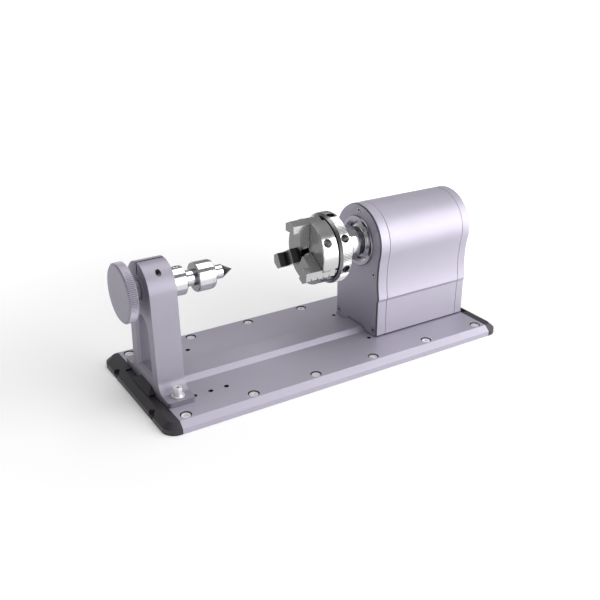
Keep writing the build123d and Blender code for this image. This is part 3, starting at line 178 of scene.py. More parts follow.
def turning_group() -> bpy.types.ShaderNodeTree:
    """Tool marks left by a lathe: rings about a line along X.

    Returns:
        The group, made once; its outputs are the height of the fine rings and the value of the broad ones.
    """
    name = "Turning marks"
    if name in bpy.data.node_groups:
        return bpy.data.node_groups[name]
    inputs = [("Vector", "vector", 0), ("Axis Height", "value", 0), ("Rings per Metre", "value", 3000)]
    group = _new_group(name, inputs, ["Height", "Streak"])
    source, sink = group.nodes["in"], group.nodes["out"]
    split = group.nodes.new("ShaderNodeSeparateXYZ")
    group.links.new(source.outputs["Vector"], split.inputs[0])
    rise = _math(group, "SUBTRACT", split.outputs["Z"], source.outputs["Axis Height"])
    across = _math(group, "MULTIPLY", split.outputs["Y"], split.outputs["Y"])
    upward = _math(group, "MULTIPLY", rise, rise)
    radius = _math(group, "SQRT", _math(group, "ADD", across, upward))
    ring = group.nodes.new("ShaderNodeCombineXYZ")
    group.links.new(split.outputs["X"], ring.inputs["X"])
    group.links.new(radius, ring.inputs["Y"])
    marks = group.nodes.new("ShaderNodeTexNoise")
    marks.inputs["Detail"].default_value = 3.0
    group.links.new(ring.outputs[0], marks.inputs["Vector"])
    group.links.new(source.outputs["Rings per Metre"], marks.inputs["Scale"])
    broad = group.nodes.new("ShaderNodeTexNoise")
    broad.inputs["Detail"].default_value = 1.0
    group.links.new(ring.outputs[0], broad.inputs["Vector"])
    group.links.new(_math(group, "MULTIPLY", source.outputs["Rings per Metre"], 0.2), broad.inputs["Scale"])
    group.links.new(marks.outputs["Fac"], sink.inputs["Height"])
    group.links.new(broad.outputs["Fac"], sink.inputs["Streak"])
    return group


def handling_group() -> bpy.types.ShaderNodeTree:
    """Broad soft patches that handling leaves in a finish.

    Returns:
        The group, made once; its output is a value about zero.
    """
    name = "Handling marks"
    if name in bpy.data.node_groups:
        return bpy.data.node_groups[name]
    group = _new_group(name, [("Vector", "vector", 0), ("Patches per Metre", "value", 30)], ["Patch"])
    source, sink = group.nodes["in"], group.nodes["out"]
    noise = group.nodes.new("ShaderNodeTexNoise")
    noise.inputs["Detail"].default_value = 4.0
    noise.inputs["Roughness"].default_value = 0.6
    group.links.new(source.outputs["Vector"], noise.inputs["Vector"])
    group.links.new(source.outputs["Patches per Metre"], noise.inputs["Scale"])
    group.links.new(_math(group, "SUBTRACT", noise.outputs["Fac"], 0.5), sink.inputs["Patch"])
    return group


# Finishes


@dataclass(frozen=True)
class Finish:
    """One surface finish, turned into a material when it is first used.

    Attributes:
        name: the material's name.
        colour: linear base colour.
        metallic: 1 for bare metal, lower for anodised layers, 0 for plastic and rubber.
        roughness: mean roughness.
        texture: kind of fine relief.
        density: grains, rings or scratches per metre.
        relief: strength of the bump.
        patch: how much handling changes the roughness.
        shade: how much darker the colour gets in the patches.
        axis_height: height of the line that turned rings go round.
    """

    name: str
    colour: Colour
    metallic: float
    roughness: float
    texture: Texture
    density: float
    relief: float
    patch: float = 0.06
    shade: float = 0.05
    axis_height: float = 0.0

    def material(self) -> bpy.types.Material:
        """Turns the finish into a material.

        Returns:
            The material, made at the first call.
        """
        if self.name in bpy.data.materials:
            return bpy.data.materials[self.name]
        made = bpy.data.materials.new(self.name)
        made.use_nodes = True
        tree = made.node_tree
        shader = tree.nodes["Principled BSDF"]
        shader.inputs["Metallic"].default_value = self.metallic
        place = tree.nodes.new("ShaderNodeTexCoord").outputs["Object"]
        patch = self._patch(tree, place)
        self._colour(tree, shader, patch)
        height, streak = self._relief(tree, place)
        self._roughness(tree, shader, patch, streak)
        bump = tree.nodes.new("ShaderNodeBump")
        bump.inputs["Strength"].default_value = self.relief
        bump.inputs["Distance"].default_value = BUMP_DEPTH
        tree.links.new(height, bump.inputs["Height"])
        tree.links.new(bump.outputs["Normal"], shader.inputs["Normal"])
        return made

    def _patch(self, tree: bpy.types.NodeTree, place: bpy.types.NodeSocket) -> bpy.types.NodeSocket:
        """Adds the handling marks.

        Args:
            tree: node tree of the material.
            place: object coordinates.

        Returns:
            A value about zero that follows the marks.
        """
        node = tree.nodes.new("ShaderNodeGroup")
        node.node_tree = handling_group()
        tree.links.new(place, node.inputs["Vector"])
        return node.outputs["Patch"]

    def _colour(
        self, tree: bpy.types.NodeTree, shader: bpy.types.Node, patch: bpy.types.NodeSocket
    ) -> None:
        """Sets the base colour, slightly darker where the surface has been handled.

        Args:
            tree: node tree of the material.
            shader: its Principled node.
            patch: value of the handling marks.
        """
        mix = tree.nodes.new("ShaderNodeMix")
        mix.data_type = "RGBA"
        mix.inputs["A"].default_value = (*self.colour, 1.0)
        mix.inputs["B"].default_value = (*(part * (1 - 2 * self.shade) for part in self.colour), 1.0)
        tree.links.new(_math(tree, "ADD", patch, 0.5), mix.inputs["Factor"])
        tree.links.new(mix.outputs["Result"], shader.inputs["Base Color"])

    def _relief(
        self, tree: bpy.types.NodeTree, place: bpy.types.NodeSocket
    ) -> tuple[bpy.types.NodeSocket, bpy.types.NodeSocket | None]:
        """Adds the fine relief.

        Args:
            tree: node tree of the material.
            place: object coordinates.

        Returns:
            The relief's height, and the streak value where the metal is turned.
        """
        node = tree.nodes.new("ShaderNodeGroup")
        if self.texture is Texture.TURNED:
            node.node_tree = turning_group()
            node.inputs["Axis Height"].default_value = self.axis_height
            node.inputs["Rings per Metre"].default_value = self.density
            tree.links.new(place, node.inputs["Vector"])
            return node.outputs["Height"], node.outputs["Streak"]
        node.node_tree = grain_group()
        node.inputs["Grains per Metre"].default_value = self.density
        stretch = tree.nodes.new("ShaderNodeMapping")
        if self.texture is Texture.GROUND:
            stretch.inputs["Scale"].default_value = GROUND_STRETCH
        tree.links.new(place, stretch.inputs["Vector"])
        tree.links.new(stretch.outputs["Vector"], node.inputs["Vector"])
        return node.outputs["Height"], None

    def _roughness(
        self,
        tree: bpy.types.NodeTree,
        shader: bpy.types.Node,
        patch: bpy.types.NodeSocket,
        streak: bpy.types.NodeSocket | None,
    ) -> None:
        """Sets a roughness that follows the handling marks and the turned streaks.

        Args:
            tree: node tree of the material.
            shader: its Principled node.
            patch: value of the handling marks.
            streak: streak value of turned metal, if any.
        """
        value = _math(tree, "ADD", _math(tree, "MULTIPLY", patch, self.patch), self.roughness)
        if streak is not None:
            shift = _math(tree, "MULTIPLY", _math(tree, "SUBTRACT", streak, 0.5), 2 * self.patch)
            value = _math(tree, "ADD", value, shift)
        tree.links.new(value, shader.inputs["Roughness"])


def middle_height(node: str) -> float:
    """Height of the middle of a CAD node's box, in metres."""
    low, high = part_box(node)
    return (low.z + high.z) / 2


SPINDLE_HEIGHT = middle_height("hand_knob")
MOTOR_HEIGHT = middle_height("motor_shaft")
ANODISED_COLOUR = (0.435, 0.41, 0.49)
# Darker copy of the anodised colour: painted shade for the tailstock's dimmer side, on the bracket, the knob
# and the sleeve's end.
TAIL_SHADE_PAINT_COLOUR = (0.35, 0.33, 0.395)
# Much darker copy of the anodised colour: painted shade on the bracket's feet.
FOOT_SHADE_PAINT_COLOUR = (0.22, 0.207, 0.255)
ALUMINIUM_COLOUR = (0.56, 0.57, 0.58)

ANODISED = Finish("Anodised lavender", ANODISED_COLOUR, 0.5, 0.50, Texture.BLASTED, 5200, 0.28)
# Turned anodising in the darker painted-shade copy of the anodised colour.
ANODISED_TURNED = Finish(
    "Anodised lavender, turned", TAIL_SHADE_PAINT_COLOUR, 0.5, 0.46, Texture.TURNED, 2600, 0.20,
    axis_height=SPINDLE_HEIGHT,
)
# Anodised finish in the darker painted-shade copy of its colour.
ANODISED_TAIL_SHADE_PAINT = Finish("Anodised lavender, milled", TAIL_SHADE_PAINT_COLOUR, 0.5, 0.50, Texture.BLASTED, 5200, 0.28)
# Anodised finish in that much darker copy: painted shade.
ANODISED_FOOT_SHADE_PAINT = Finish("Anodised lavender, painted foot shade", FOOT_SHADE_PAINT_COLOUR, 0.5, 0.45, Texture.BLASTED, 5200, 0.28)
ANODISED_SCREW = Finish("Anodised screw", (0.46, 0.45, 0.50), 0.7, 0.34, Texture.MOULDED, 3000, 0.08)
# Near-black painted shade for hole walls, gaps, slits, contact edges and screw rims, where shade falls.
DARK_SHADE_PAINT = Finish("Dark painted shade", (0.035, 0.033, 0.042), 0.3, 0.6, Texture.BLASTED, 5200, 0.2)
POLISHED_RING = Finish(
    "Polished ring", (0.34, 0.325, 0.37), 1.0, 0.16, Texture.TURNED, 2400, 0.08,
    patch=0.03, axis_height=SPINDLE_HEIGHT,
)
# Near-black ground under the knob's ribs: painted shade in the grooves.
KNURL_GROOVE_SHADE_PAINT = Finish("Knurl grooves, painted shade", (0.06, 0.055, 0.075), 0.55, 0.5, Texture.BLASTED, 5200, 0.28)
BLACK_PLASTIC = Finish("Black moulded plastic", (0.026, 0.0225, 0.030), 0.0, 0.42, Texture.MOULDED, 2600, 0.5)
CHROME = Finish(
    "Polished chrome", (0.70, 0.70, 0.71), 1.0, 0.14, Texture.TURNED, 2200, 0.06,
    patch=0.03, axis_height=SPINDLE_HEIGHT,
)
SCREW_CHROME = Finish("Plated screw", (0.86, 0.86, 0.87), 0.6, 0.3, Texture.MOULDED, 3000, 0.08, patch=0.03)
TURNED_STEEL = Finish(
    "Turned steel", (0.60, 0.60, 0.61), 1.0, 0.20, Texture.TURNED, 2600, 0.12,
    axis_height=SPINDLE_HEIGHT,
)
CHUCK_STEEL = Finish(
    "Bright chuck steel", (0.59, 0.59, 0.59), 1.0, 0.20, Texture.TURNED, 2800, 0.10,
    axis_height=SPINDLE_HEIGHT,
)
# Darker copy of the bright steel for faces turned towards -X: painted shade for the dark reflection on that
# side.
STEEL_SIDE_SHADE_PAINT = Finish(
    "Turned steel, painted side shade", (0.24, 0.24, 0.24), 1.0, 0.28, Texture.TURNED, 2800, 0.16,
    axis_height=SPINDLE_HEIGHT,
)
JAW_STEEL = Finish("Ground jaw steel", (0.54, 0.54, 0.54), 1.0, 0.16, Texture.GROUND, 6000, 0.16)
GRIP_STEEL = Finish("Blackened grip", (0.075, 0.075, 0.076), 0.9, 0.40, Texture.GROUND, 6000, 0.2)
DARK_STEEL = Finish("Blackened steel", (0.09, 0.09, 0.095), 0.9, 0.34, Texture.MOULDED, 3000, 0.15)
TIP_STEEL = Finish(
    "Hardened tip", (0.06, 0.06, 0.062), 0.9, 0.28, Texture.TURNED, 3000, 0.15,
    axis_height=SPINDLE_HEIGHT,
)
BEARING_STEEL = Finish(
    "Bearing steel", (0.55, 0.55, 0.56), 1.0, 0.16, Texture.TURNED, 3000, 0.05,
    axis_height=SPINDLE_HEIGHT,
)
MACHINED = Finish("Machined aluminium", ALUMINIUM_COLOUR, 1.0, 0.32, Texture.GROUND, 3000, 0.2)
PULLEY = Finish(
    "Turned aluminium", ALUMINIUM_COLOUR, 1.0, 0.28, Texture.TURNED, 2400, 0.2,
    axis_height=MOTOR_HEIGHT,
)
MOTOR_BLACK = Finish("Motor lacquer", (0.02, 0.02, 0.022), 0.1, 0.38, Texture.MOULDED, 1800, 0.2)
RUBBER = Finish("Black rubber", (0.012, 0.012, 0.012), 0.0, 0.72, Texture.MOULDED, 3500, 0.5)


# Geometry Nodes


@dataclass
class NodeTree:
    """Geometry Nodes tree under construction, with helpers that place and join its nodes.

    Attributes:
        name: name of the tree.
        inputs: name and kind of each input; the kind is "length", "count" or "material".
        tree: the tree itself.
        source: its input node.
        sink: its output node.
    """

    name: str
    inputs: Sequence[tuple[str, str]]
    tree: bpy.types.GeometryNodeTree = field(init=False)
    source: bpy.types.Node = field(init=False)
    sink: bpy.types.Node = field(init=False)

    def __post_init__(self) -> None:
        """Makes the empty tree with its named inputs."""
        kinds = {
            "length": "NodeSocketFloat",
            "count": "NodeSocketInt",
            "material": "NodeSocketMaterial",
        }
        self.tree = bpy.data.node_groups.new(self.name, "GeometryNodeTree")
        for label, kind in self.inputs:
            self.tree.interface.new_socket(name=label, in_out="INPUT", socket_type=kinds[kind])
        self.tree.interface.new_socket(name="Geometry", in_out="OUTPUT", socket_type="NodeSocketGeometry")
        self.source = self.tree.nodes.new("NodeGroupInput")
        self.sink = self.tree.nodes.new("NodeGroupOutput")

    def add(self, kind: str, **settings: object) -> bpy.types.Node:
        """Adds a node.

        Args:
            kind: Blender's name of the node type.
            settings: attributes of the node.

        Returns:
            The node.
        """
        node = self.tree.nodes.new(kind)
        for key, value in settings.items():
            setattr(node, key, value)
        return node

    def join(self, output: bpy.types.NodeSocket, target: bpy.types.NodeSocket) -> None:
        """Links an output to an input."""
        self.tree.links.new(output, target)

    def value(self, label: str) -> bpy.types.NodeSocket:
        """The tree's own input of that name."""
        return self.source.outputs[label]

    def math(self, operation: str, first: object, second: object) -> bpy.types.NodeSocket:
        """Output of a Math node with the two sources."""
        return _math(self.tree, operation, first, second)

    def vector(self, x: object, y: object, z: object) -> bpy.types.NodeSocket:
        """Adds a Combine XYZ node.

        Args:
            x: a socket or a number.
            y: a socket or a number.
            z: a socket or a number.

        Returns:
            The node's vector output.
        """
        node = self.add("ShaderNodeCombineXYZ")
        for index, source in enumerate((x, y, z)):
            if isinstance(source, bpy.types.NodeSocket):
                self.join(source, node.inputs[index])
            else:
                node.inputs[index].default_value = float(source)
        return node.outputs[0]

    def close(self, geometry: bpy.types.NodeSocket) -> None:
        """Ends the tree in Realize Instances and Set Material.

        Args:
            geometry: output that holds the finished geometry.
        """
        realised = self.add("GeometryNodeRealizeInstances")
        self.join(geometry, realised.inputs["Geometry"])
        painted = self.add("GeometryNodeSetMaterial")
        self.join(realised.outputs["Geometry"], painted.inputs["Geometry"])
        self.join(self.value("Material"), painted.inputs["Material"])
        self.join(painted.outputs["Geometry"], self.sink.inputs["Geometry"])


def knurl_tree() -> bpy.types.GeometryNodeTree:
    """Straight ribs round a cylinder along X, either clear of its radial holes or only beside them.

    Returns:
        The tree, made once.
    """
    name = "Straight knurl"
    if name in bpy.data.node_groups:
        return bpy.data.node_groups[name]
    lengths = ["Radius", "Start", "Length", "Axis Height", "Rib Height", "Hole Turn", "Hole Half Angle"]
    counts = ["Count", "Hole Count", "Beside Holes"]
    inputs = [*((label, "length") for label in lengths), *((label, "count") for label in counts)]
    made = NodeTree(name, [*inputs, ("Material", "material")])
    circle = made.add("GeometryNodeMeshCircle")
    made.join(made.value("Count"), circle.inputs["Vertices"])
    made.join(made.value("Radius"), circle.inputs["Radius"])
    rib = made.add("GeometryNodeMeshCylinder")
    rib.inputs["Vertices"].default_value = 4
    made.join(made.value("Rib Height"), rib.inputs["Radius"])
    made.join(made.value("Length"), rib.inputs["Depth"])
    place = made.add("GeometryNodeInputPosition").outputs[0]
    turn = made.add("FunctionNodeAlignRotationToVector", axis="X", pivot_axis="Z")
    made.join(place, turn.inputs["Vector"])
    ribs = made.add("GeometryNodeInstanceOnPoints")
    made.join(circle.outputs["Mesh"], ribs.inputs["Points"])
    made.join(_rib_kept(made, place), ribs.inputs["Selection"])
    made.join(rib.outputs["Mesh"], ribs.inputs["Instance"])
    made.join(turn.outputs["Rotation"], ribs.inputs["Rotation"])
    lay = made.add("GeometryNodeTransform")
    lay.inputs["Rotation"].default_value = (0.0, math.pi / 2, 0.0)
    made.join(ribs.outputs["Instances"], lay.inputs["Geometry"])
    middle = made.math("ADD", made.value("Start"), made.math("MULTIPLY", made.value("Length"), 0.5))
    made.join(made.vector(middle, 0, made.value("Axis Height")), lay.inputs["Translation"])
    made.close(lay.outputs["Geometry"])
    return made.tree


def _rib_kept(made: NodeTree, place: bpy.types.NodeSocket) -> bpy.types.NodeSocket:
    """Whether a rib is kept.

    Args:
        made: the knurl's tree.
        place: position of the rib on its circle.

    Returns:
        1 where the rib's nearness to a hole agrees with the input Beside Holes, otherwise 0.
    """
    split = made.add("ShaderNodeSeparateXYZ")
    made.join(place, split.inputs[0])
    angle = made.math("ARCTAN2", split.outputs["Y"], split.outputs["X"])
    share = made.math("DIVIDE", made.value("Hole Count"), 2 * math.pi)
    steps = made.math("MULTIPLY", made.math("SUBTRACT", angle, made.value("Hole Turn")), share)
    wrapped = made.math("SUBTRACT", made.math("FLOORED_MODULO", made.math("ADD", steps, 0.5), 1.0), 0.5)
    away = made.math("ABSOLUTE", wrapped, None)
    beside = made.math("LESS_THAN", away, made.math("MULTIPLY", made.value("Hole Half Angle"), share))
    return made.math("COMPARE", beside, made.value("Beside Holes"))


def ridge_tree() -> bpy.types.GeometryNodeTree:
    """Row of straight ridges one pitch apart, laid along X and standing on the local Z side.

    Returns:
        The tree, made once.
    """
    name = "Ridge row"
    if name in bpy.data.node_groups:
        return bpy.data.node_groups[name]
    labels = ["Start", "Pitch", "Width", "Ridge Height", "Base Radius", "Turn", "Axis Height"]
    inputs = [*((label, "length") for label in labels), ("Count", "count"), ("Material", "material")]
    made = NodeTree(name, inputs)
    row = made.add("GeometryNodeMeshLine")
    made.join(made.value("Count"), row.inputs["Count"])
    made.join(made.vector(made.value("Start"), 0, made.value("Base Radius")), row.inputs["Start Location"])
    made.join(made.vector(made.value("Pitch"), 0, 0), row.inputs["Offset"])
    ridge = made.add("GeometryNodeMeshCylinder")
    ridge.inputs["Vertices"].default_value = 4
    made.join(made.value("Ridge Height"), ridge.inputs["Radius"])
    made.join(made.value("Width"), ridge.inputs["Depth"])
    lay = made.add("GeometryNodeTransform")
    lay.inputs["Rotation"].default_value = (math.pi / 2, 0.0, 0.0)
    made.join(ridge.outputs["Mesh"], lay.inputs["Geometry"])
    ridges = made.add("GeometryNodeInstanceOnPoints")
    made.join(row.outputs["Mesh"], ridges.inputs["Points"])
    made.join(lay.outputs["Geometry"], ridges.inputs["Instance"])
    swing = made.add("GeometryNodeTransform")
    made.join(ridges.outputs["Instances"], swing.inputs["Geometry"])
    made.join(made.vector(made.value("Turn"), 0, 0), swing.inputs["Rotation"])
    made.join(made.vector(0, 0, made.value("Axis Height")), swing.inputs["Translation"])
    made.close(swing.outputs["Geometry"])
    return made.tree


def grow(name: str, tree: bpy.types.GeometryNodeTree, finish: Finish, body: str, **sizes: float) -> None:
    """Runs a Geometry Nodes tree and keeps its result as a plain mesh.

    Args:
        name: name of the finished piece.
        tree: tree that makes the geometry.
        finish: finish of the piece.
        body: CAD body that the piece rides on.
        sizes: values of the tree's inputs, with underscores for the spaces in their names.
    """
    carrier = bpy.data.objects.new(name + "_grown", bpy.data.meshes.new(name + "_seed"))
    bpy.context.scene.collection.objects.link(carrier)
    modifier = carrier.modifiers.new("grow", "NODES")
    modifier.node_group = tree
    for item in tree.interface.items_tree:
        if item.in_out != "INPUT":
            continue
        if item.socket_type == "NodeSocketMaterial":
            modifier[item.identifier] = finish.material()
            continue
        value = sizes[item.name.replace(" ", "_").lower()]
        modifier[item.identifier] = int(value) if item.socket_type == "NodeSocketInt" else float(value)
    mesh = _frozen(carrier)
    mesh.name = name
    bpy.data.objects.remove(carrier)
    piece = bpy.data.objects.new(name, mesh)
    bpy.context.scene.collection.objects.link(piece)
    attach(piece, body)
    LOG.info("%s: %d faces", name, len(mesh.polygons))


# Pieces made from the CAD nodes


def body_of(node: str) -> str:
    """Name of the CAD body that holds the node."""
    return frame["nodes"][node]["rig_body"]


def merged(node: str) -> bmesh.types.BMesh:
    """Copies a CAD node with its loose triangles joined and flat areas made one face.

    Args:
        node: CAD node.

    Returns:
        The copy, which the caller frees.
    """
    shape = bmesh.new()
    shape.from_mesh(frame["nodes"][node].data)
    bmesh.ops.remove_doubles(shape, verts=shape.verts, dist=WELD_DISTANCE)
    bmesh.ops.dissolve_limit(shape, angle_limit=FLAT_ANGLE, verts=shape.verts, edges=shape.edges)
    return shape


def _frozen(carrier: bpy.types.Object) -> bpy.types.Mesh:
    """Keeps what an object's modifiers make, and removes them.

    Args:
        carrier: object with modifiers.

    Returns:
        The plain mesh.
    """
    mesh = bpy.data.meshes.new_from_object(carrier.evaluated_get(bpy.context.evaluated_depsgraph_get()))
    carrier.modifiers.clear()
    return mesh


def dress(
    node: str, finish: Finish, edge: float = 0.25, segments: int = 2, rim: Finish | None = None
) -> bpy.types.Object:
    """Replaces a CAD node by a copy with softened edges.

    Args:
        node: CAD node.
        finish: finish of the piece.
        edge: width of the softened edge in millimetres.
        segments: steps across the softened edge.
        rim: finish of the softened edges where it differs.

    Returns:
        The finished piece.
    """
    shape = merged(node)
    mesh = bpy.data.meshes.new(node + "_finished")
    shape.to_mesh(mesh)
    shape.free()
    carrier = bpy.data.objects.new(node + "_carrier", mesh)
    bpy.context.scene.collection.objects.link(carrier)
    bevel = carrier.modifiers.new("edge", "BEVEL")
    bevel.width = edge * MM
    bevel.segments = segments
    bevel.limit_method = "ANGLE"
    bevel.angle_limit = BEVEL_ANGLE
    bevel.use_clamp_overlap = True
    if rim is not None:
        mesh.materials.append(finish.material())
        mesh.materials.append(rim.material())
        bevel.material = 1
    carrier.data = _frozen(carrier)
    smooth(carrier.data)
    weigh = carrier.modifiers.new("flat faces", "WEIGHTED_NORMAL")
    weigh.mode = "FACE_AREA"
    weigh.weight = FACE_WEIGHT
    weigh.keep_sharp = True
    result = _frozen(carrier)
    result.name = node + "_softened"
    bpy.data.objects.remove(carrier)
    if rim is None:
        result.materials.clear()
        result.materials.append(finish.material())
    piece = bpy.data.objects.new(node + "_softened", result)
    bpy.context.scene.collection.objects.link(piece)
    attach(piece, body_of(node))
    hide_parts(node)
    LOG.info("%s: %d faces", piece.name, len(result.polygons))
    return piece


def refinish(
    piece: bpy.types.Object, finish: Finish, chosen: Callable[[bpy.types.MeshPolygon], bool]
) -> None:
    """Gives the chosen faces of a finished piece another finish.

    Args:
        piece: finished piece.
        finish: finish of the chosen faces.
        chosen: says for each face whether it is chosen.
    """
    slot = len(piece.data.materials)
    piece.data.materials.append(finish.material())
    for face in piece.data.polygons:
        if chosen(face):
            face.material_index = slot


def smooth(mesh: bpy.types.Mesh) -> None:
    """Smooth shading that keeps the sharp edges."""
    mesh.polygons.foreach_set("use_smooth", [True] * len(mesh.polygons))
    mesh.set_sharp_from_angle(angle=SMOOTH_ANGLE)


def paint(node: str, finish: Finish) -> None:
    """Gives a CAD node its finish and leaves its shape alone.

    Args:
        node: CAD node.
        finish: finish of the node.
    """
    data = frame["nodes"][node].data
    data.materials.clear()
    data.materials.append(finish.material())
    LOG.info("%s: painted", node)


# Sub-assemblies


@dataclass
class Base:
    """Ribbed plate, its bed screws and the moulded end caps.

    Attributes:
        plate_edge: softened edge of the plate in millimetres.
        cap_edge: softened edge of the end caps.
        cap_segments: steps across the end caps' softened edges.
        screw_edge: softened edge of the bed screws.
        rim_width: strip along the plate's rim that holds no hole.
        wall_facet: largest facet of a hole's wall in square millimetres.
    """

    plate_edge: float = 0.35
    cap_edge: float = 0.5
    cap_segments: int = 3
    screw_edge: float = 0.18
    rim_width: float = 3.0
    wall_facet: float = 12.0

    def build(self) -> None:
        """Makes and dresses the pieces."""
        plate = dress("base_plate", ANODISED, self.plate_edge)
        low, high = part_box("base_plate")
        reach = (high.x - self.rim_width * MM, high.y - self.rim_width * MM)
        # Painted shade: the walls of the holes and screw recesses get the near-black finish.
        refinish(plate, DARK_SHADE_PAINT, lambda face: self._is_hole_wall(face, reach))
        dress("base_screws", SCREW_CHROME, self.screw_edge)
        for node in ("end_cap_left", "end_cap_right"):
            dress(node, BLACK_PLASTIC, self.cap_edge, self.cap_segments)
        paint("end_cap_screws", DARK_STEEL)

    def _is_hole_wall(self, face: bpy.types.MeshPolygon, reach: tuple[float, float]) -> bool:
        """Whether a face of the plate belongs to the wall of a hole or of a screw recess.

        Args:
            face: face of the plate.
            reach: how far from the middle such walls lie, along X and Y, in metres.

        Returns:
            True for an upright small face within the reach.
        """
        inside = abs(face.center.x) < reach[0] and abs(face.center.y) < reach[1]
        return inside and abs(face.normal.z) < SIDEWAYS and face.area < self.wall_facet * MM * MM


@dataclass
class Headstock:
    """Housing with its covers, frame, motor and belt drive.

    Attributes:
        cover_edge: softened edge of the shell and the covers in millimetres.
        plate_edge: softened edge of the front plate and the bearing retainer.
        screw_edge: softened edge of the countersunk heads.
        foot_shade: height above the plate below which a downward face gets painted shade.
        foot_half_width: half the housing's width where it stands on the plate.
        foot_line_height: height of the dark strip under its sides, a painted shadow.
        foot_line_depth: depth of that strip.
    """

    cover_edge: float = 0.4
    plate_edge: float = 0.3
    screw_edge: float = 0.3
    foot_shade: float = 4.0
    foot_half_width: float = 30.5
    foot_line_height: float = 0.8
    foot_line_depth: float = 0.3

    def build(self) -> None:
        """Makes and dresses the pieces."""
        plate = dress("front_plate", ANODISED, self.plate_edge)
        # Painted shade: the plate's faces that don't face forward get the near-black finish, for the shadow
        # gap round it.
        refinish(plate, DARK_SHADE_PAINT, lambda face: face.normal.x > -MOSTLY_FACING)
        for node in ("front_cover", "body_shell", "rear_cover"):
            shell = dress(node, ANODISED, self.cover_edge)
            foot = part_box(node)[0].z + self.foot_shade * MM
            # Painted shade: downward faces near the plate get the near-black finish.
            refinish(shell, DARK_SHADE_PAINT, lambda face: face.normal.z < -LEANING and face.center.z < foot)
        self._foot_line()
        dress("bearing_retainer", POLISHED_RING, self.plate_edge)
        for node, side in (("front_plate_screws", -1), ("rear_cover_screws", 1)):
            # Painted shade: the softened rim of each head gets the near-black finish, for the shaded gap
            # round it.
            screws = dress(node, ANODISED_SCREW, self.screw_edge, rim=DARK_SHADE_PAINT)
            refinish(screws, DARK_STEEL, lambda face: face.normal.x * side < HALF_FACING)
        paint("headstock_frame", MACHINED)
        paint("headstock_bolts", DARK_STEEL)
        paint("stepper_motor", MOTOR_BLACK)
        paint("motor_screws", DARK_STEEL)
        paint("motor_shaft", TURNED_STEEL)
        paint("motor_pulley", PULLEY)
        paint("drive_belt", RUBBER)
        paint("cable_socket", BLACK_PLASTIC)
        paint("front_bearing", BEARING_STEEL)
        paint("rear_bearing", BEARING_STEEL)

    def _foot_line(self) -> None:
        """Painted shadow: a dark strip along both sides, where the housing stands on the plate."""
        low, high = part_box("front_plate")[0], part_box("rear_cover")[1]
        height = self.foot_line_height * MM
        size = Matrix.Diagonal((high.x - low.x, self.foot_line_depth * MM, height, 1.0))
        shape = bmesh.new()
        for side in (-1.0, 1.0):
            middle = ((high.x + low.x) / 2, side * self.foot_half_width * MM, low.z + height / 2)
            bmesh.ops.create_cube(shape, size=1.0, matrix=Matrix.Translation(middle) @ size)
        mesh = bpy.data.meshes.new("housing_foot_line")
        shape.to_mesh(mesh)
        shape.free()
        # The strip takes the near-black finish of painted shade.
        mesh.materials.append(DARK_SHADE_PAINT.material())
        piece = bpy.data.objects.new(mesh.name, mesh)
        bpy.context.scene.collection.objects.link(piece)
        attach(piece, body_of("body_shell"))


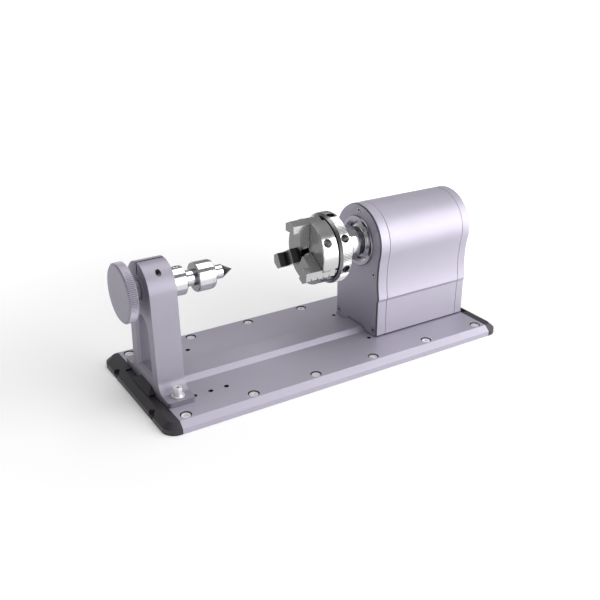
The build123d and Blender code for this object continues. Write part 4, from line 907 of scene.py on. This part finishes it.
@dataclass
class Chuck:
    """Spindle and three-jaw scroll chuck.

    Attributes:
        edge: softened edge in millimetres.
        knurl_ribs: ribs round the scroll ring.
        knurl_height: size of a rib from its middle to its ridge, in millimetres.
        knurl_sink: how far a rib's middle lies below the ring's surface, in millimetres.
        ring_width: width of the ring's cylindrical part in millimetres.
        front_rim: plain edge before the knurl, in millimetres.
        back_rim: plain edge behind it, in millimetres.
        hole_count: holes round the ring for the tightening bar.
        hole_turn: angle of the first hole from +Y towards +Z, in degrees.
        hole_radius: radius of a hole's mouth, in millimetres.
        grip_pitch: distance between the ridges of a jaw's gripping faces, in millimetres.
        grip_share: size of a ridge as a share of that distance.
        grip_lift: how far a ridge's middle lies outside the face, in millimetres.
        grip_steps: first and last ridge from the jaw's front, and radius of the face, in millimetres.
        jaw_width: width of a jaw in millimetres.
        jaw_angles: directions of the jaws in degrees.
    """

    edge: float = 0.25
    knurl_ribs: int = 150
    knurl_height: float = 0.42
    knurl_sink: float = 0.12
    ring_width: float = 9.1
    front_rim: float = 0.15
    back_rim: float = 0.9
    hole_count: int = 7
    hole_turn: float = 97.4
    hole_radius: float = 4.0
    grip_pitch: float = 1.3
    grip_share: float = 0.42
    grip_lift: float = 0.1
    grip_steps: tuple[GripStep, ...] = ((0.9, 5.2, 20.3), (7.2, 11.6, 8.2))
    jaw_width: float = 12.6
    jaw_angles: tuple[float, ...] = (90.0, 210.0, 330.0)

    def build(self) -> None:
        """Makes and dresses the pieces."""
        dress("spindle", CHROME, self.edge)
        paint("spindle_nut", TURNED_STEEL)
        paint("spindle_pulley", PULLEY)
        dress("chuck_flange", CHROME, self.edge)
        body = dress("chuck_body", CHUCK_STEEL, self.edge)
        # Painted shade: the body's faces turned towards -X get the darker steel.
        refinish(body, STEEL_SIDE_SHADE_PAINT, lambda face: face.normal.x < -FACING)
        ring = dress("scroll_ring", CHUCK_STEEL, self.edge)
        # Painted shade: the ring's faces turned towards -X get the darker steel.
        refinish(ring, STEEL_SIDE_SHADE_PAINT, lambda face: face.normal.x < -LEANING)
        self._knurl()
        for number, angle in enumerate(self.jaw_angles, 1):
            self._jaw(f"jaw_{number}", math.radians(angle))

    def _jaw(self, node: str, angle: float) -> None:
        """Dresses a jaw and serrates the faces that grip the work.

        Args:
            node: CAD node of the jaw.
            angle: direction of the jaw from the spindle line, from +Y towards +Z, in radians.
        """
        piece = dress(node, JAW_STEEL, self.edge)
        inward = Vector((0.0, -math.cos(angle), -math.sin(angle)))
        # Painted shade: the jaw's faces turned towards -X get the darker steel.
        refinish(piece, STEEL_SIDE_SHADE_PAINT, lambda face: face.normal.x < -FACING)
        refinish(piece, GRIP_STEEL, lambda face: face.normal.dot(inward) > FACING)
        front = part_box(node)[0].x
        for step, (start, end, radius) in enumerate(self.grip_steps, 1):
            grow(
                f"{node}_grip_{step}",
                ridge_tree(),
                GRIP_STEEL,
                body_of(node),
                start=front + start * MM,
                pitch=self.grip_pitch * MM,
                width=(self.jaw_width - 2 * self.edge) * MM,
                ridge_height=self.grip_pitch * self.grip_share * MM,
                base_radius=(radius + self.grip_lift) * MM,
                turn=angle - math.pi / 2,
                axis_height=SPINDLE_HEIGHT,
                count=int((end - start) / self.grip_pitch) + 1,
            )

    def _knurl(self) -> None:
        """Ribs round the scroll ring: long ones between its holes, short ones beside them."""
        low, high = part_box("scroll_ring")
        radius = (high.y - low.y) / 2
        start = high.x - (self.ring_width - self.front_rim) * MM
        length = high.x - self.back_rim * MM - start
        hole = self.hole_radius * MM
        short = length / 2 - hole
        bands = {
            "between": (start, length, 0),
            "front": (start, short, 1),
            "back": (start + length - short, short, 1),
        }
        for band, (band_start, band_length, beside) in bands.items():
            grow(
                f"ring_knurl_{band}",
                knurl_tree(),
                CHUCK_STEEL,
                body_of("scroll_ring"),
                radius=radius - self.knurl_sink * MM,
                start=band_start,
                length=band_length,
                axis_height=SPINDLE_HEIGHT,
                rib_height=self.knurl_height * MM,
                count=self.knurl_ribs,
                hole_turn=math.radians(self.hole_turn) + math.pi / 2,
                hole_half_angle=hole / radius,
                hole_count=self.hole_count,
                beside_holes=beside,
            )


@dataclass
class Tailstock:
    """Bracket, quill, feed screw and hand knob.

    Attributes:
        edge: softened edge of the turned pieces and the foot screws in millimetres.
        bracket_edge: softened edge of the bracket.
        bracket_segments: steps across the bracket's softened edges.
        small_edge: softened edge of the washers and the clamp screw.
        foot_shade: height up to which the sides of the bracket's feet get painted shade.
        slit_half: half the width that holds the clamp slit, whose walls get painted shade.
        knurl_ribs: ribs round the knob.
        knurl_height: size of a rib from its middle to its ridge.
        knurl_sink: how far a rib's middle lies below the knob's surface.
        knob_bevel: plain edge at both ends of the ribs.
        knob_width: width of the knob's rim.
    """

    edge: float = 0.3
    bracket_edge: float = 0.45
    bracket_segments: int = 3
    small_edge: float = 0.15
    foot_shade: float = 3.2
    slit_half: float = 1.6
    knurl_ribs: int = 96
    knurl_height: float = 0.75
    knurl_sink: float = 0.1
    knob_bevel: float = 0.9
    knob_width: float = 8.0

    def build(self) -> None:
        """Makes and dresses the pieces."""
        # The bracket takes the darker copy of the anodised colour: painted shade.
        bracket = dress("tailstock_bracket", ANODISED_TAIL_SHADE_PAINT, self.bracket_edge, self.bracket_segments)
        low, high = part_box("tailstock_bracket")
        contact = low.z + self.bracket_edge * MM
        # Painted shade: the bracket's feet get the much darker anodised copy.
        refinish(bracket, ANODISED_FOOT_SHADE_PAINT, lambda face: face.center.z < low.z + self.foot_shade * MM)
        # Painted shade: the faces along the contact with the plate get the near-black finish.
        refinish(bracket, DARK_SHADE_PAINT, lambda face: face.center.z < contact)
        # Painted shade: the walls of the clamp slit get the near-black finish.
        refinish(bracket, DARK_SHADE_PAINT, lambda face: self._is_slit(face, high.z))
        dress("tailstock_washers", SCREW_CHROME, self.small_edge)
        dress("tailstock_screws", SCREW_CHROME, self.edge)
        dress("quill_clamp_screw", DARK_STEEL, self.small_edge)
        sleeve = dress("quill_sleeve", CHROME, self.edge)
        # The sleeve's rear end takes the lavender anodising in its darker painted-shade copy.
        refinish(sleeve, ANODISED_TAIL_SHADE_PAINT, lambda face: face.center.x < low.x + self.edge * MM)
        paint("key_screw", DARK_STEEL)
        dress("quill", CHROME, self.edge)
        paint("lead_screw", TURNED_STEEL)
        paint("knob_set_screw", DARK_STEEL)
        # The knob takes the darker copy of the anodised colour: painted shade.
        self._knurl(dress("hand_knob", ANODISED_TURNED, self.edge))

    def _is_slit(self, face: bpy.types.MeshPolygon, top: float) -> bool:
        """Whether a face of the bracket lines the clamp slit; the top is the bracket's, in metres."""
        above = SPINDLE_HEIGHT < face.center.z < top - self.bracket_edge * MM
        return above and abs(face.normal.y) > FACING and abs(face.center.y) < self.slit_half * MM

    def _knurl(self, knob: bpy.types.Object) -> None:
        """Ribs round the knob's rim, over a darker ground that paints the shade in the grooves.

        Args:
            knob: the dressed knob.
        """
        low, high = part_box("hand_knob")
        radius = (high.z - low.z) / 2
        last = low.x + (self.knob_width - self.knob_bevel) * MM
        # Painted shade: the rim's surface under the ribs gets the near-black ground.
        refinish(knob, KNURL_GROOVE_SHADE_PAINT, lambda face: abs(face.normal.x) < SIDEWAYS and face.center.x < last)
        grow(
            "knob_knurl",
            knurl_tree(),
            ANODISED_TURNED,
            body_of("hand_knob"),
            radius=radius - self.knurl_sink * MM,
            start=low.x + self.knob_bevel * MM,
            length=(self.knob_width - 2 * self.knob_bevel) * MM,
            axis_height=SPINDLE_HEIGHT,
            rib_height=self.knurl_height * MM,
            count=self.knurl_ribs,
            hole_turn=0.0,
            hole_half_angle=0.0,
            hole_count=1,
            beside_holes=0,
        )


@dataclass
class LiveCentre:
    """Live centre that turns in the quill.

    Attributes:
        edge: softened edge in millimetres.
        tip_edge: softened edge of the hardened tip.
    """

    edge: float = 0.25
    tip_edge: float = 0.1

    def build(self) -> None:
        """Makes and dresses the pieces."""
        body = dress("live_centre_body", CHROME, self.edge)
        # Painted shade: the body's faces turned towards -X get the darker steel.
        refinish(body, STEEL_SIDE_SHADE_PAINT, lambda face: face.normal.x < -FACING)
        dress("live_centre_cap", CHROME, self.edge, rim=DARK_STEEL)
        paint("live_centre_bearing", DARK_STEEL)
        dress("centre_spindle", CHROME, self.edge)
        dress("centre_tip", TIP_STEEL, self.tip_edge)


# Studio


def _background_rays(tree: bpy.types.NodeTree) -> bpy.types.NodeSocket:
    """Adds a Light Path node for the rays that show the background.

    Args:
        tree: node tree of a material or the world.

    Returns:
        1 for the camera's, mirrored and transmitted rays, otherwise 0.
    """
    rays = tree.nodes.new("ShaderNodeLightPath")
    seen = rays.outputs["Is Camera Ray"]
    for kind in ("Is Glossy Ray", "Is Transmission Ray"):
        seen = _math(tree, "MAXIMUM", seen, rays.outputs[kind])
    return seen


@dataclass
class Softbox:
    """One rectangular lamp aimed at a point.

    Attributes:
        name: name of the lamp.
        place: where it hangs, in metres.
        target: point that it faces.
        size: its width and height in metres.
        watts: its power.
    """

    name: str
    place: Point
    target: Point
    size: tuple[float, float]
    watts: float

    def build(self) -> None:
        """Makes the lamp."""
        lamp = bpy.data.lights.new(self.name, "AREA")
        lamp.shape = "RECTANGLE"
        lamp.size, lamp.size_y = self.size
        lamp.energy = self.watts
        holder = bpy.data.objects.new(self.name, lamp)
        holder.location = self.place
        aim = Vector(self.target) - Vector(self.place)
        holder.rotation_mode = "QUATERNION"
        holder.rotation_quaternion = aim.to_track_quat("-Z", "Y")
        bpy.context.scene.collection.objects.link(holder)


@dataclass
class Studio:
    """Camera, pale floor, soft lamps and world.

    Attributes:
        camera_place: where the camera stands, in metres.
        view_direction: where it looks.
        lens: focal length in millimetres.
        floor_reach: half the floor's side in metres.
        floor_colour: linear colour of the floor.
        sky_colour: linear colour of the sky.
        sky_light: light from the horizon.
        zenith_light: light from straight above.
        dim_side: share of the light that comes from the tailstock's side.
        white_band: height, as a sine, up to which the background fades from white.
        dark_zenith: strength of the background above that band.
        floor_glow: added light of the floor near the module, for the rays that show the background.
        far_glow: the same far away.
        near_reach: distance in metres where the floor starts to brighten.
        far_reach: distance where it is brightest.
        lamps: soft lamps.
    """

    camera_place: Point = (-0.34841, -0.543822, 0.336203)
    view_direction: Point = (0.48364, 0.77331, -0.40997)
    lens: float = 49.04
    floor_reach: float = 40.0
    floor_colour: Colour = (0.80, 0.80, 0.805)
    sky_colour: Colour = (1.0, 1.0, 1.0)
    sky_light: float = 0.6
    zenith_light: float = 0.3
    dim_side: float = 0.45
    white_band: float = 0.45
    dark_zenith: float = 0.27
    floor_glow: float = 0.14
    far_glow: float = 0.9
    near_reach: float = 0.1
    far_reach: float = 0.95
    lamps: tuple[Softbox, ...] = (
        Softbox("Front lamp", (0.8, -0.83, 0.47), (0.0, 0.0, 0.05), (1.65, 1.0), 19.5),
        Softbox("Top lamp", (0.0, 0.1, 1.2), (0.0, 0.0, 0.05), (1.0, 1.0), 8.0),
    )

    def build(self) -> None:
        """Makes the studio."""
        self._camera()
        self._floor()
        self._world()
        for lamp in self.lamps:
            lamp.build()
        bpy.context.scene.view_settings.view_transform = "Standard"

    def _camera(self) -> None:
        """Camera at the photograph's viewpoint."""
        camera = bpy.data.cameras.new("Camera")
        camera.lens = self.lens
        camera.sensor_width = 36.0
        camera.sensor_fit = "HORIZONTAL"
        camera.clip_start = 0.01
        camera.clip_end = 200.0
        holder = bpy.data.objects.new("Camera", camera)
        holder.location = self.camera_place
        holder.rotation_mode = "QUATERNION"
        holder.rotation_quaternion = Vector(self.view_direction).to_track_quat("-Z", "Y")
        bpy.context.scene.collection.objects.link(holder)
        bpy.context.scene.camera = holder

    def _floor(self) -> None:
        """Pale floor that keeps the module's shadow."""
        reach = self.floor_reach
        mesh = bpy.data.meshes.new("Floor")
        corners = [(-reach, -reach, 0), (reach, -reach, 0), (reach, reach, 0), (-reach, reach, 0)]
        mesh.from_pydata(corners, [], [(0, 1, 2, 3)])
        floor = bpy.data.objects.new("Floor", mesh)
        bpy.context.scene.collection.objects.link(floor)
        made = bpy.data.materials.new("Pale floor")
        made.use_nodes = True
        shader = made.node_tree.nodes["Principled BSDF"]
        shader.inputs["Base Color"].default_value = (*self.floor_colour, 1.0)
        shader.inputs["Roughness"].default_value = 0.9
        shader.inputs["Specular IOR Level"].default_value = 0.1
        shader.inputs["Emission Color"].default_value = (1.0, 1.0, 1.0, 1.0)
        span = made.node_tree.nodes.new("ShaderNodeVectorMath")
        span.operation = "LENGTH"
        place = made.node_tree.nodes.new("ShaderNodeTexCoord").outputs["Object"]
        made.node_tree.links.new(place, span.inputs[0])
        fade = made.node_tree.nodes.new("ShaderNodeMapRange")
        fade.interpolation_type = "SMOOTHSTEP"
        ends = (self.near_reach, self.far_reach, self.floor_glow, self.far_glow)
        for label, value in zip(("From Min", "From Max", "To Min", "To Max"), ends):
            fade.inputs[label].default_value = value
        made.node_tree.links.new(span.outputs["Value"], fade.inputs["Value"])
        glow = _math(made.node_tree, "MULTIPLY", _background_rays(made.node_tree), fade.outputs["Result"])
        made.node_tree.links.new(glow, shader.inputs["Emission Strength"])
        mesh.materials.append(made)

    def _world(self) -> None:
        """Sky that lights the module, and one for the background rays, white below and darker on high."""
        world = bpy.data.worlds.new("Studio")
        world.use_nodes = True
        bpy.context.scene.world = world
        tree = world.node_tree
        tree.nodes.clear()
        light = tree.nodes.new("ShaderNodeBackground")
        light.inputs["Color"].default_value = (*self.sky_colour, 1.0)
        split = tree.nodes.new("ShaderNodeSeparateXYZ")
        tree.links.new(tree.nodes.new("ShaderNodeTexCoord").outputs["Generated"], split.inputs[0])
        fade = tree.nodes.new("ShaderNodeMapRange")
        fade.inputs["To Min"].default_value = self.sky_light
        fade.inputs["To Max"].default_value = self.zenith_light
        tree.links.new(split.outputs["Z"], fade.inputs["Value"])
        side = tree.nodes.new("ShaderNodeMapRange")
        side.inputs["From Min"].default_value = -1.0
        side.inputs["To Min"].default_value = self.dim_side
        tree.links.new(split.outputs["X"], side.inputs["Value"])
        level = _math(tree, "MULTIPLY", fade.outputs["Result"], side.outputs["Result"])
        tree.links.new(level, light.inputs["Strength"])
        shown = tree.nodes.new("ShaderNodeBackground")
        shown.inputs["Color"].default_value = (*self.sky_colour, 1.0)
        dusk = tree.nodes.new("ShaderNodeMapRange")
        dusk.inputs["From Max"].default_value = self.white_band
        dusk.inputs["To Min"].default_value = 1.0
        dusk.inputs["To Max"].default_value = self.dark_zenith
        tree.links.new(split.outputs["Z"], dusk.inputs["Value"])
        tree.links.new(dusk.outputs["Result"], shown.inputs["Strength"])
        mix = tree.nodes.new("ShaderNodeMixShader")
        tree.links.new(_background_rays(tree), mix.inputs["Fac"])
        tree.links.new(light.outputs[0], mix.inputs[1])
        tree.links.new(shown.outputs[0], mix.inputs[2])
        output = tree.nodes.new("ShaderNodeOutputWorld")
        tree.links.new(mix.outputs[0], output.inputs["Surface"])


def main() -> None:
    """Builds every sub-assembly and the studio."""
    logging.basicConfig(level=logging.INFO, format="%(name)s %(message)s")
    for assembly in (Base(), Headstock(), Chuck(), Tailstock(), LiveCentre(), Studio()):
        LOG.info("building %s", type(assembly).__name__)
        assembly.build()


if __name__ == "__main__":
    main()
